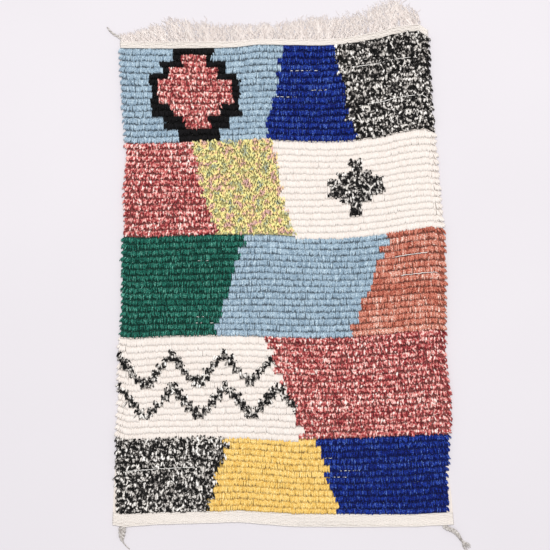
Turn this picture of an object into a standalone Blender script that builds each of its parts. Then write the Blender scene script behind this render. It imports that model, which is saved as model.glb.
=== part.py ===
"""Boucherouite rug: a hand-knotted, short-piled rug lying flat.

The knotted cloth is one lumpy slab whose rows of pile stand up as ridges, with a lock of yarn at
each end of each row. The warp ends hang loose from the top edge, and three corners carry a tail,
a tassel and a bound braid. Metres, +Z up, with the rug on z = 0 and its length along Y.
"""

import math
import random

import bmesh
import bpy
from mathutils import Vector

# Cloth: its nominal size, its rows of knots and its thickness.
FIELD_WIDTH = 1.000
FIELD_LENGTH = 1.500
FIELD_CENTRE = (-0.021, -0.022)
ROWS = 77
EDGE_HEIGHT = 0.0060
GROOVE_HEIGHT = 0.0105
CREST_HEIGHT = 0.0160
END_ROW_SHARE = 0.75
END_ROWS_LOW = 2
END_ROWS_HIGH = 1
CREST_PLACE = 0.32
LUMP = 0.0012
ROW_WANDER = 0.0022
WANDER_PER_METRE = 9.0
WANDER_PER_ROW = 0.35
MIDDLE_COLUMNS = 17
SIDE_SHARES = (0.0, 0.012, 0.040)

# Locks of yarn at the two ends of each row. The lowest rows leave the cloth's edge bare.
LOCK_LENGTH = (0.005, 0.011)
LOCK_HEIGHT = 0.0065
LOCK_ROOT_HEIGHT = 0.0135
LOCK_DROOP = 0.0030
BARE_ROWS = 10

# Warp fringe along the top edge.
STRANDS = 128
FRINGE_INSET = (0.016, 0.030)
STRIP_DEPTH = 0.009
STRIP_HEIGHT = 0.0042
STRAND_SHARE = 0.46
STRAND_HEIGHT = 0.0024
STRAND_TAPER = 0.55
STRAND_STEPS = (0.34, 0.68, 1.0)
STRAND_WAVE = 0.0022
STRAND_WAVE_LENGTH = 0.070
STRAND_WAVE_DRIFT = 0.26
STRAND_SWAY = 0.0008
LENGTH_SPREAD = 0.13

# Space left between two pieces that touch on the real rug.
SEAT_GAP = 0.0003

# Yarns, as linear colours, and how dull they are.
PILE_BLUE = (0.262, 0.356, 0.434)
WARP_WHITE = (0.83, 0.79, 0.73)
TAIL_GREY = (0.72, 0.69, 0.64)
TASSEL_GREY = (0.66, 0.62, 0.57)
BRAID_GREY = (0.62, 0.58, 0.53)
YARN_ROUGHNESS = 0.92
SMOOTH_ANGLE = math.radians(50)

# How far the sides bulge past the nominal width. Columns: share of the length, left, right.
SIDE_EDGES = (
    (0.000, 0.027, 0.028),
    (0.053, 0.024, 0.022),
    (0.100, 0.021, 0.013),
    (0.177, 0.012, 0.010),
    (0.219, 0.011, 0.016),
    (0.280, 0.004, 0.015),
    (0.321, 0.004, 0.004),
    (0.373, 0.006, 0.000),
    (0.420, -0.003, 0.000),
    (0.590, -0.006, -0.002),
    (0.630, -0.015, -0.008),
    (0.672, -0.010, -0.014),
    (0.775, -0.020, -0.027),
    (0.840, -0.011, -0.038),
    (0.900, -0.003, -0.045),
    (0.961, -0.001, -0.051),
    (1.027, 0.007, -0.053),
)

# How far the ends reach past the nominal length. Columns: share of the width, bottom, top.
END_EDGES = (
    (-0.010, -0.005, -0.003),
    (0.040, 0.002, -0.003),
    (0.120, -0.005, -0.003),
    (0.367, -0.013, -0.002),
    (0.450, -0.006, 0.006),
    (0.531, 0.001, 0.004),
    (0.650, 0.002, 0.003),
    (0.726, 0.002, 0.009),
    (0.840, 0.001, 0.028),
    (0.884, 0.001, 0.041),
    (0.930, -0.002, 0.048),
    (0.970, -0.004, 0.052),
    (1.010, -0.006, 0.026),
)

# Fringe. Columns: place across the width, length of the ends, sideways lean per unit of length.
FRINGE_FORM = (
    (-0.500, 0.022, -0.45),
    (-0.455, 0.020, -0.40),
    (-0.415, 0.031, -0.42),
    (-0.380, 0.038, -0.42),
    (-0.300, 0.063, -0.38),
    (-0.240, 0.047, -0.30),
    (-0.100, 0.037, -0.12),
    (0.000, 0.039, -0.06),
    (0.090, 0.059, 0.00),
    (0.182, 0.057, -0.03),
    (0.220, 0.048, -0.05),
    (0.257, 0.059, -0.08),
    (0.331, 0.076, -0.12),
    (0.368, 0.060, -0.22),
    (0.420, 0.031, -0.45),
)

# Bottom right braid. Columns: place across, distance out from the cloth's end, width, height.
BRAID_FORM = (
    (0.4990, 0.0000, 0.0130, 0.0095),
    (0.4990, 0.0039, 0.0135, 0.0100),
    (0.5022, 0.0077, 0.0140, 0.0105),
    (0.5080, 0.0102, 0.0145, 0.0105),
    (0.5155, 0.0125, 0.0148, 0.0105),
    (0.5240, 0.0159, 0.0150, 0.0105),
    (0.5318, 0.0207, 0.0148, 0.0100),
    (0.5385, 0.0272, 0.0135, 0.0095),
    (0.5440, 0.0347, 0.0115, 0.0085),
    (0.5485, 0.0419, 0.0085, 0.0070),
    (0.5520, 0.0474, 0.0060, 0.0055),
    (0.5562, 0.0530, 0.0095, 0.0062),
    (0.5615, 0.0592, 0.0160, 0.0065),
)
BRAID_SWAY = 0.09
TUFT_LENGTHS = (0.018, 0.026, 0.023, 0.030, 0.016)
TUFT_FAN = 0.95
TUFT_PARTING = 0.0009
TUFT_TIP = 0.0014
FLAT_TEST = 0.00005

# Bottom left tassel with its thin tail. Columns as in the braid's table.
TASSEL_FORM = (
    (-0.4965, 0.0000, 0.0260, 0.0100),
    (-0.4965, 0.0068, 0.0280, 0.0115),
    (-0.4970, 0.0148, 0.0270, 0.0115),
    (-0.4975, 0.0228, 0.0240, 0.0110),
    (-0.4980, 0.0298, 0.0205, 0.0100),
    (-0.4980, 0.0358, 0.0165, 0.0085),
    (-0.4970, 0.0413, 0.0115, 0.0065),
    (-0.4950, 0.0468, 0.0050, 0.0045),
    (-0.4900, 0.0538, 0.0034, 0.0034),
    (-0.4830, 0.0618, 0.0032, 0.0032),
    (-0.4740, 0.0698, 0.0028, 0.0028),
)
TASSEL_SWAY = 0.05

# Top left tail of plied yarn. Columns as in the braid's table.
TAIL_FORM = (
    (-0.4990, 0.0000, 0.0075, 0.0065),
    (-0.4990, 0.0057, 0.0075, 0.0067),
    (-0.5018, 0.0117, 0.0075, 0.0068),
    (-0.5080, 0.0160, 0.0072, 0.0066),
    (-0.5160, 0.0197, 0.0070, 0.0064),
    (-0.5245, 0.0247, 0.0066, 0.0060),
    (-0.5325, 0.0312, 0.0062, 0.0056),
    (-0.5390, 0.0387, 0.0056, 0.0050),
    (-0.5435, 0.0457, 0.0040, 0.0040),
)
TAIL_SWAY = 0.0

# A ring of the braid, tassel and tail: shares of its half-width and of its height.
RING = ((-1.0, 0.5), (-0.55, 0.0), (0.55, 0.0), (1.0, 0.5), (0.55, 1.0), (-0.55, 1.0))


def look_up(table, place, column):
    """Value of a table's column at a place, on straight lines between its rows."""
    for low, high in zip(table, table[1:]):
        if place <= high[0]:
            break
    share = min(max((place - low[0]) / (high[0] - low[0]), 0.0), 1.0)
    return low[column] + share * (high[column] - low[column])


def column_shares():
    """Shares of the width at which the cloth has a line of points, closer at both sides."""
    first = SIDE_SHARES[-1]
    step = (1.0 - 2.0 * first) / (MIDDLE_COLUMNS + 1)
    middle = [first + step * (k + 1) for k in range(MIDDLE_COLUMNS)]
    return [*SIDE_SHARES, *middle, *[1.0 - s for s in reversed(SIDE_SHARES)]]


def cloth_point(across, along):
    """Place on the cloth of two shares, of its width and of its length."""
    bottom = -0.5 * FIELD_LENGTH - look_up(END_EDGES, across, 1)
    top = 0.5 * FIELD_LENGTH + look_up(END_EDGES, across, 2)
    y = bottom + along * (top - bottom)
    height_share = y / FIELD_LENGTH + 0.5
    left = -0.5 * FIELD_WIDTH - look_up(SIDE_EDGES, height_share, 1)
    right = 0.5 * FIELD_WIDTH + look_up(SIDE_EDGES, height_share, 2)
    return left + across * (right - left), y


def link_part(name, mesh, colour):
    """Object of a mesh in the rug's collection, with its own plain wool or cotton material."""
    material = bpy.data.materials.new(name + "_yarn")
    material.use_nodes = True
    shader = material.node_tree.nodes["Principled BSDF"]
    shader.inputs["Base Color"].default_value = (*colour, 1.0)
    shader.inputs["Roughness"].default_value = YARN_ROUGHNESS
    shader.inputs["Metallic"].default_value = 0.0
    mesh.materials.append(material)
    mesh.shade_smooth()
    mesh.set_sharp_from_angle(angle=SMOOTH_ANGLE)
    part = bpy.data.objects.new(name, mesh)
    part.location = (*FIELD_CENTRE, 0.0)
    bpy.data.collections["boucherouite_rug"].objects.link(part)
    return part


def finish_mesh(bm, name):
    """Mesh of a bmesh, with its faces turned outwards."""
    bmesh.ops.recalc_face_normals(bm, faces=bm.faces)
    mesh = bpy.data.meshes.new(name)
    bm.to_mesh(mesh)
    bm.free()
    return mesh


def line_rise(line):
    """Rows below a line of points: grooves (even) lie between rows, crests (odd) within them."""
    return line // 2 + (CREST_PLACE if line % 2 else 0.0)


def pile_height(line, rng):
    """Height of a point on a crest line (odd) or a groove line (even), with its lump."""
    if line % 2 == 0:
        return GROOVE_HEIGHT + rng.uniform(-0.5, 0.5) * LUMP
    row = line // 2
    flat = row < END_ROWS_LOW or row >= ROWS - END_ROWS_HIGH
    crest = CREST_HEIGHT * (END_ROW_SHARE if flat else 1.0)
    return crest + rng.uniform(-1.0, 1.0) * LUMP


def field_surface(shares):
    """Points of the pile's top, one list a line: grooves and crests in turn, bottom to top."""
    rng = random.Random(7)
    last = len(shares) - 1
    lines = []
    for line in range(2 * ROWS + 1):
        rise = line_rise(line)
        points = []
        for column, across in enumerate(shares):
            x, y = cloth_point(across, rise / ROWS)
            z = pile_height(line, rng)
            if line in (0, 2 * ROWS):
                points.append((x, y, EDGE_HEIGHT))
                continue
            y += ROW_WANDER * math.sin(WANDER_PER_METRE * x + WANDER_PER_ROW * rise)
            if line % 2 and column in (0, last):
                reach = rng.uniform(*LOCK_LENGTH) * min(1.0, rise / BARE_ROWS)
                x += reach if column else -reach
                y -= LOCK_DROOP
                z = LOCK_HEIGHT
            elif line % 2 and column in (1, last - 1):
                z = min(z, LOCK_ROOT_HEIGHT)
            elif column in (0, last):
                z = EDGE_HEIGHT
            points.append((x, y, z))
        lines.append(points)
    return lines


def build_field():
    """The knotted cloth: ridged pile on top, locks at the sides, flat below."""
    shares = column_shares()
    wide, tall = len(shares) - 1, 2 * ROWS
    bm = bmesh.new()
    bmesh.ops.create_grid(bm, x_segments=wide, y_segments=tall, size=0.5)
    rim = [e for e in bm.edges if e.is_boundary]
    skirt = bmesh.ops.extrude_edge_only(bm, edges=rim)["geom"]
    foot = {g for g in skirt if isinstance(g, bmesh.types.BMVert)}
    underside = bmesh.ops.contextual_create(bm, geom=[e for e in bm.edges if e.is_boundary])
    surface = field_surface(shares)
    for vert in bm.verts:
        column = round((vert.co.x + 0.5) * wide)
        line = round((vert.co.y + 0.5) * tall)
        if vert in foot:
            vert.co = (*cloth_point(shares[column], line_rise(line) / ROWS), 0.0)
        else:
            vert.co = surface[line][column]
    bmesh.ops.triangulate(bm, faces=underside["faces"])
    mesh = finish_mesh(bm, "rug_field")
    return link_part("rug_field", mesh, PILE_BLUE)


def top_edge_y(x):
    """Place along the rug of the cloth's top edge, on the same straight lines as the cloth."""
    line = [cloth_point(share, 1.0) for share in column_shares()]
    return look_up(line, x, 1)


def strand_point(root_x, root_y, share, sway):
    """Middle of a warp end at a share of its length from its root."""
    length = look_up(FRINGE_FORM, root_x, 1)
    lean = look_up(FRINGE_FORM, root_x, 2)
    run = share * length
    turn = 2.0 * math.pi * (run / STRAND_WAVE_LENGTH + root_x / STRAND_WAVE_DRIFT)
    start = 2.0 * math.pi * root_x / STRAND_WAVE_DRIFT
    wave = STRAND_WAVE * (math.sin(turn) - math.sin(start)) * min(1.0, 2.0 * share)
    return root_x + lean * run + wave + sway * share, root_y + run


def nearest_place(face, places):
    """Index of the place that a face's middle is nearest to."""
    middle = face.calc_center_median()

    def away(k):
        return math.hypot(places[k][0] - middle.x, places[k][1] - middle.y)

    return min(range(len(places)), key=away)


def strip_columns():
    """Places across the rug of the strip's points: its ends and both sides of each strand."""
    left = cloth_point(0.0, 1.0)[0] + FRINGE_INSET[0]
    right = cloth_point(1.0, 1.0)[0] - FRINGE_INSET[1]
    pitch = (right - left) / STRANDS
    slack = 0.5 * (1.0 - STRAND_SHARE) * pitch
    columns = [left]
    for k in range(STRANDS):
        columns += [left + k * pitch + slack, left + (k + 1) * pitch - slack]
    return [*columns, right]


def build_strip(bm, columns):
    """The flat strip that the warp ends leave; returns its front faces, one for each strand."""
    wide = len(columns) - 1
    bmesh.ops.create_grid(bm, x_segments=wide, y_segments=1, size=0.5)
    raised = bmesh.ops.extrude_face_region(bm, geom=bm.faces[:])["geom"]
    top = {g for g in raised if isinstance(g, bmesh.types.BMVert)}
    front = {v for v in bm.verts if v.co.y > 0.0}
    place = {v: round((v.co.x + 0.5) * wide) for v in bm.verts}
    for vert in bm.verts:
        x = columns[place[vert]]
        depth = STRIP_DEPTH if vert in front else 0.0
        vert.co = (x, top_edge_y(x) + SEAT_GAP + depth, STRIP_HEIGHT if vert in top else 0.0)
    faces = []
    for face in bm.faces:
        lower = [v for v in face.verts if v not in top]
        upright = len(lower) == 2 and all(v in front for v in face.verts)
        if upright and min(place[v] for v in lower) % 2 and max(place[v] for v in lower) < wide:
            faces.append(face)
    return faces


def build_fringe():
    """Warp ends fused at their roots in a narrow strip along the cloth's top edge."""
    rng = random.Random(11)
    columns = strip_columns()
    bm = bmesh.new()
    faces = build_strip(bm, columns)
    roots = []
    for left, right in zip(columns[1:-1:2], columns[2:-1:2]):
        x = 0.5 * (left + right)
        y = top_edge_y(x) + SEAT_GAP + STRIP_DEPTH
        roots.append((x, y, rng.uniform(-1.0, 1.0), rng.uniform(-1.0, 1.0)))
    width = columns[2] - columns[1]
    places = [(x, y) for x, y, _, _ in roots]
    for share in STRAND_STEPS:
        faces = bmesh.ops.extrude_discrete_faces(bm, faces=faces)["faces"]
        matched = [nearest_place(face, places) for face in faces]
        size = 1.0 - (1.0 - STRAND_TAPER) * share
        for face, k in zip(faces, matched):
            root_x, root_y, sway, spread = roots[k]
            reach = share * (1.0 + LENGTH_SPREAD * spread)
            places[k] = strand_point(root_x, root_y, reach, sway * STRAND_SWAY)
            middle = face.calc_center_median()
            for vert in face.verts:
                across = 0.5 * width * size if vert.co.x > middle.x else -0.5 * width * size
                height = STRAND_HEIGHT * size if vert.co.z > middle.z else 0.0
                vert.co = (places[k][0] + across, places[k][1], height)
    mesh = finish_mesh(bm, "warp_fringe")
    return link_part("warp_fringe", mesh, WARP_WHITE)


def seat_form(form, top):
    """A form's table with its distances turned to places along the rug, clear of the cloth."""
    share = 1.0 if top else 0.0
    line = [cloth_point(across, share) for across in column_shares()]
    root, half = form[0][0], 0.5 * form[0][2]
    edge = [look_up(line, x, 1) for x in (root - half, root, root + half)]
    if top:
        return [(x, max(edge) + SEAT_GAP + out, w, h) for x, out, w, h in form]
    return [(x, min(edge) - SEAT_GAP - out, w, h) for x, out, w, h in form]


def ring_points(form, station, sway):
    """Points of a braid's ring at a station, square to its run and flat on the floor."""
    x, y, width, height = form[station]
    before = form[max(station - 1, 0)]
    after = form[min(station + 1, len(form) - 1)]
    run = math.hypot(after[0] - before[0], after[1] - before[1])
    side_x, side_y = (after[1] - before[1]) / run, -(after[0] - before[0]) / run
    shift = sway * width * (1.0 if station % 2 else -1.0)
    points = []
    for across, up in RING:
        reach = 0.5 * width * across + shift
        points.append((x + side_x * reach, y + side_y * reach, up * height))
    return points


def grow_rope(bm, form, sway):
    """Body of a braid, tassel or tail, grown ring by ring from its root."""
    bmesh.ops.create_circle(bm, cap_ends=True, segments=len(RING), radius=1.0)
    face = bm.faces[:][0]
    ring = list(face.verts)
    for vert, point in zip(ring, ring_points(form, 0, 0.0)):
        vert.co = point
    for station in range(1, len(form)):
        grown = bmesh.ops.extrude_face_region(bm, geom=[face, *face.edges, *face.verts])["geom"]
        fresh = [g for g in grown if isinstance(g, bmesh.types.BMVert)]
        face = [g for g in grown if isinstance(g, bmesh.types.BMFace)][0]
        ring = [min(fresh, key=lambda v, o=old: (v.co - o.co).length) for old in ring]
        held = sway if station < len(form) - 1 else 0.0
        for vert, point in zip(ring, ring_points(form, station, held)):
            vert.co = point


def end_geometry(bm, end, run):
    """Faces, edges and points that lie in the plane of a braid's end."""
    flat = []
    for face in bm.faces:
        away = [(v.co.x - end[0]) * run[0] + (v.co.y - end[1]) * run[1] for v in face.verts]
        if max(away) - min(away) < FLAT_TEST and abs(away[0]) < FLAT_TEST:
            flat.append(face)
    edges = {e for f in flat for e in f.edges}
    verts = {v for f in flat for v in f.verts}
    return [*flat, *edges, *verts]


def fan_tuft(bm, form):
    """Open strands from a braid's end, fanned out and lying on the floor."""
    (before_x, before_y, _, _), (end_x, end_y, width, _) = form[-2:]
    heading = math.atan2(end_y - before_y, end_x - before_x)
    run = (math.cos(heading), math.sin(heading))
    side = (run[1], -run[0])
    count = len(TUFT_LENGTHS)
    for cut in range(1, count):
        for edge in (-0.5, 0.5):
            reach = (cut / count - 0.5) * width + edge * TUFT_PARTING
            place = (end_x + side[0] * reach, end_y + side[1] * reach, 0.0)
            region = end_geometry(bm, (end_x, end_y), run)
            bmesh.ops.bisect_plane(bm, geom=region, plane_co=place, plane_no=(*side, 0.0))
    flat = [g for g in end_geometry(bm, (end_x, end_y), run) if isinstance(g, bmesh.types.BMFace)]
    flat.sort(key=lambda f: f.calc_center_median().dot(Vector((*side, 0.0))))
    tips = bmesh.ops.extrude_discrete_faces(bm, faces=flat[::2])["faces"]
    tips.sort(key=lambda f: f.calc_center_median().dot(Vector((*side, 0.0))))
    for index, (tip, length) in enumerate(zip(tips, TUFT_LENGTHS)):
        turn = heading + TUFT_FAN * (0.5 - (index + 0.5) / count)
        across = Vector((math.sin(turn), -math.cos(turn), 0.0))
        ahead = Vector((math.cos(turn), math.sin(turn), 0.0))
        middle = tip.calc_center_median()
        middle.z = 0.0
        lowest = min(v.co.z for v in tip.verts)
        tall = max(v.co.z for v in tip.verts) - lowest
        reaches = [(v.co - middle).dot(across) for v in tip.verts]
        wide = max(reaches) - min(reaches)
        for vert, reach in zip(tip.verts, reaches):
            lift = TUFT_TIP * (vert.co.z - lowest) / tall
            vert.co = middle + ahead * length + across * (TUFT_TIP * reach / wide)
            vert.co.z = lift


def build_rope(name, table, sway, colour, top=False, tuft=False):
    """A tapering plait or tail lying on the floor, with or without an open tuft at its end."""
    form = seat_form(table, top)
    bm = bmesh.new()
    grow_rope(bm, form, sway)
    if tuft:
        fan_tuft(bm, form)
    return link_part(name, finish_mesh(bm, name), colour)


def main():
    """The cloth, its warp fringe and its three corner pieces, in one collection."""
    for old in list(bpy.data.objects):
        bpy.data.objects.remove(old, do_unlink=True)
    group = bpy.data.collections.new("boucherouite_rug")
    bpy.context.scene.collection.children.link(group)
    build_field()
    build_fringe()
    build_rope("corner_tail_top_left", TAIL_FORM, TAIL_SWAY, TAIL_GREY, top=True)
    build_rope("corner_tassel_left", TASSEL_FORM, TASSEL_SWAY, TASSEL_GREY)
    build_rope("corner_braid_right", BRAID_FORM, BRAID_SWAY, BRAID_GREY, tuft=True)


main()
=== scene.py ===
"""Looks of a hand-knotted, short-piled rug that lies flat on a pale floor.

The knotted cloth is a thin woven ground with a pile of cut yarn ends, one joined mesh for each yarn.
Loose warp ends hang from its top edge, and three corners carry a plied tail, a plaited tassel and a
bound braid. Every length is in metres, in the frame's own coordinates.
"""

import logging
import math
from dataclasses import dataclass, field
from enum import Enum

import bmesh
import bpy
import numpy as np
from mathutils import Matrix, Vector


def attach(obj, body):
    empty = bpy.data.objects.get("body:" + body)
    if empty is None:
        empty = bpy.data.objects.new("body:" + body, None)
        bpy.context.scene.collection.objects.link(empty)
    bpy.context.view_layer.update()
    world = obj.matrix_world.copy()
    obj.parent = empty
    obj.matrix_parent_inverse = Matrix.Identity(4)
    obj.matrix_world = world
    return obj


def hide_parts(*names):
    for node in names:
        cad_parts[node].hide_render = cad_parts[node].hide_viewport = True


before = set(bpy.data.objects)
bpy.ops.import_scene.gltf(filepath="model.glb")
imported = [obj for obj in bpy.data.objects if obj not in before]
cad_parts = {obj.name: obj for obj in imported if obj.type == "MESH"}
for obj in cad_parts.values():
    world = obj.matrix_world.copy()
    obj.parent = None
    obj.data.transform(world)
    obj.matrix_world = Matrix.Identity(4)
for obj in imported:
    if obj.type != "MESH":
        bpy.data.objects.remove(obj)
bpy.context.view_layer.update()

LOG = logging.getLogger("rug")
MM = 0.001

# A wave texture's bands lie this far apart at a scale of one.
WAVE_PITCH = 0.31

# Range of a random turn, which is nearly a full one.
ANY_TURN = (0.0, 6.0)

# Each tube's unwrapped skin keeps this share of its cell free on every side.
CELL_MARGIN = 0.06

# What a smooth line through four points takes halfway from each end point, and from both handles.
END_WEIGHT = 0.125
HANDLES_WEIGHT = 0.75

# The knotted cloth: nominal size, middle, rows and knots.
FIELD_WIDTH = 1.000
FIELD_LENGTH = 1.500
FIELD_CENTRE = (-0.021, -0.022)
ROWS = 77
KNOTS = 112
ROW_PITCH = FIELD_LENGTH / ROWS

# How far the sides bulge past the nominal width. Columns: share of the length, left, right.
SIDE_EDGES = (
    (0.000, 0.027, 0.028),
    (0.053, 0.024, 0.022),
    (0.100, 0.021, 0.013),
    (0.177, 0.012, 0.010),
    (0.219, 0.011, 0.016),
    (0.280, 0.004, 0.015),
    (0.321, 0.004, 0.004),
    (0.373, 0.006, 0.000),
    (0.420, -0.003, 0.000),
    (0.590, -0.006, -0.002),
    (0.630, -0.015, -0.008),
    (0.672, -0.010, -0.014),
    (0.775, -0.020, -0.027),
    (0.840, -0.011, -0.038),
    (0.900, -0.003, -0.045),
    (0.961, -0.001, -0.051),
    (1.027, 0.007, -0.053),
)

# How far the ends reach past the nominal length. Columns: share of the width, bottom, top.
END_EDGES = (
    (-0.010, -0.005, -0.003),
    (0.040, 0.002, -0.003),
    (0.120, -0.005, -0.003),
    (0.367, -0.013, -0.002),
    (0.450, -0.006, 0.006),
    (0.531, 0.001, 0.004),
    (0.650, 0.002, 0.003),
    (0.726, 0.002, 0.009),
    (0.840, 0.001, 0.028),
    (0.884, 0.001, 0.041),
    (0.930, -0.002, 0.048),
    (0.970, -0.004, 0.052),
    (1.010, -0.006, 0.026),
)

# Rows wander a little up and down across the width.
ROW_WANDER = 0.0022
WANDER_PER_METRE = 9.0
WANDER_PER_ROW = 0.35

# The photograph's frame: its side, its scale and the pixel at the middle of the cloth.
PHOTO_SIDE_PX = 550
METRES_PER_PX = 0.003093
CLOTH_MIDDLE_PX = (283.0, 283.5)


class Yarn(Enum):
    """The pile yarns, by their look."""

    CREAM = "cream"
    SKY = "sky_blue"
    ROYAL = "royal_blue"
    GREEN = "bottle_green"
    GOLDEN = "golden_yellow"
    CORAL = "coral"
    BLACK = "black"
    BLACK_WHITE = "black_white_marl"
    ROSE = "rose_marl"
    YELLOW_MULTI = "yellow_multi"


class Slot(Enum):
    """The material slots."""

    PILE = "pile_yarn"
    WARP = "warp_cotton"
    CORNER = "corner_yarn"


def linear(hex_colour: str) -> tuple[float, float, float, float]:
    """Turns an sRGB hex colour to linear.

    Args:
        hex_colour: six hex digits after a hash sign.

    Returns:
        Red, green, blue and an alpha of one.
    """
    parts = [int(hex_colour[k:k + 2], 16) / 255 for k in (1, 3, 5)]
    turned = [p / 12.92 if p <= 0.04045 else ((p + 0.055) / 1.055) ** 2.4 for p in parts]
    return (*turned, 1.0)


def add_node(tree: bpy.types.NodeTree, kind: str, settings: dict | None = None,
             links: dict | None = None) -> bpy.types.Node:
    """Adds a node with its settings and links.

    Args:
        tree: the material's or world's node tree.
        kind: the node's type.
        settings: values by the name of a property or input, or by an input's number. The value of
            "stops" is a colour ramp's list of places and hex colours or grey levels.
        links: output sockets by the name or number of the input that they feed.

    Returns:
        The new node.
    """
    node = tree.nodes.new(kind)
    for name, value in (settings or {}).items():
        if name == "stops":
            ramp = node.color_ramp
            while len(ramp.elements) < len(value):
                ramp.elements.new(0.5)
            for element, (place, colour) in zip(ramp.elements, value):
                element.position = place
                element.color = linear(colour) if isinstance(colour, str) else (colour,) * 3 + (1.0,)
        elif isinstance(name, str) and hasattr(node, name):
            setattr(node, name, value)
        else:
            node.inputs[name].default_value = value
    for name, source in (links or {}).items():
        tree.links.new(source, node.inputs[name])
    return node


def new_material(name: str, shader: dict) -> tuple[bpy.types.Material, bpy.types.Node]:
    """Starts a material with one Principled shader.

    Args:
        name: the material's name.
        shader: the shader's uniform values by input name.

    Returns:
        The material and its shader node.
    """
    material = bpy.data.materials.new(name)
    material.use_nodes = True
    tree = material.node_tree
    tree.nodes.clear()
    principled = add_node(tree, "ShaderNodeBsdfPrincipled", shader)
    add_node(tree, "ShaderNodeOutputMaterial", links={"Surface": principled.outputs["BSDF"]})
    return material, principled


@dataclass(frozen=True)
class SpunYarn:
    """Finish of one yarn: its shades, its flecks, its ply and its fuzz.

    The shades run from the darkest yarn end to the lightest. A fleck is a stretch of another shade
    along the yarn, where the strands that were plied or carded together come to the surface.
    """

    name: str
    shades: tuple[str, ...]
    fleck_size: float = 3.6 * MM
    fleck_share: float = 0.45
    fleck_contrast: float = 2.0
    ply_pitch: float = 3.2 * MM
    ply_depth: float = 0.5 * MM
    fuzz_size: float = 0.9 * MM
    roughness: float = 0.92
    sheen: float = 0.25

    def material(self) -> bpy.types.Material:
        """Builds the yarn's material, or finds it if a piece already wears it.

        Returns:
            The material, which reads a yarn end's tone and its place along the yarn.
        """
        if self.name in bpy.data.materials:
            return bpy.data.materials[self.name]
        material, shader = new_material(self.name, {
            "Roughness": self.roughness,
            "Sheen Weight": self.sheen,
            "Sheen Roughness": 0.5,
            "Specular IOR Level": 0.2,
        })
        tree = material.node_tree
        place = add_node(tree, "ShaderNodeTexCoord").outputs["Object"]
        tone = add_node(tree, "ShaderNodeAttribute", {"attribute_name": "tone"}).outputs["Fac"]
        strand = add_node(tree, "ShaderNodeUVMap", {"uv_map": "Strand"}).outputs["UV"]
        flecks = add_node(tree, "ShaderNodeTexNoise", {
            "Scale": 1.0 / self.fleck_size, "Detail": 1.0, "Roughness": 0.5}, {"Vector": place})
        half = 0.25 / self.fleck_contrast
        spread = add_node(tree, "ShaderNodeMapRange", {"From Min": 0.5 - half, "From Max": 0.5 + half},
                          {"Value": flecks.outputs["Fac"]})
        mixed = add_node(tree, "ShaderNodeMix", {"data_type": "FLOAT", "Factor": self.fleck_share},
                         {2: tone, 3: spread.outputs["Result"]})
        last = len(self.shades) - 1
        stops = [(k / last, shade) for k, shade in enumerate(self.shades)]
        colour = add_node(tree, "ShaderNodeValToRGB", {"stops": stops}, {"Fac": mixed.outputs[0]})
        tree.links.new(colour.outputs["Color"], shader.inputs["Base Color"])

        ply = add_node(tree, "ShaderNodeTexWave", {
            "wave_type": "BANDS", "bands_direction": "DIAGONAL", "wave_profile": "SIN",
            "Scale": WAVE_PITCH / self.ply_pitch, "Distortion": 1.2, "Detail": 1.0, "Detail Scale": 2.0,
        }, {"Vector": strand})
        fuzz = add_node(tree, "ShaderNodeTexNoise", {
            "Scale": 1.0 / self.fuzz_size, "Detail": 2.0, "Roughness": 0.6}, {"Vector": place})
        relief = add_node(tree, "ShaderNodeMix", {"data_type": "FLOAT", "Factor": 0.5},
                          {2: ply.outputs["Fac"], 3: fuzz.outputs["Fac"]})
        bump = add_node(tree, "ShaderNodeBump", {"Strength": 0.7, "Distance": self.ply_depth},
                        {"Height": relief.outputs[0]})
        tree.links.new(bump.outputs["Normal"], shader.inputs["Normal"])
        return material


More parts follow.
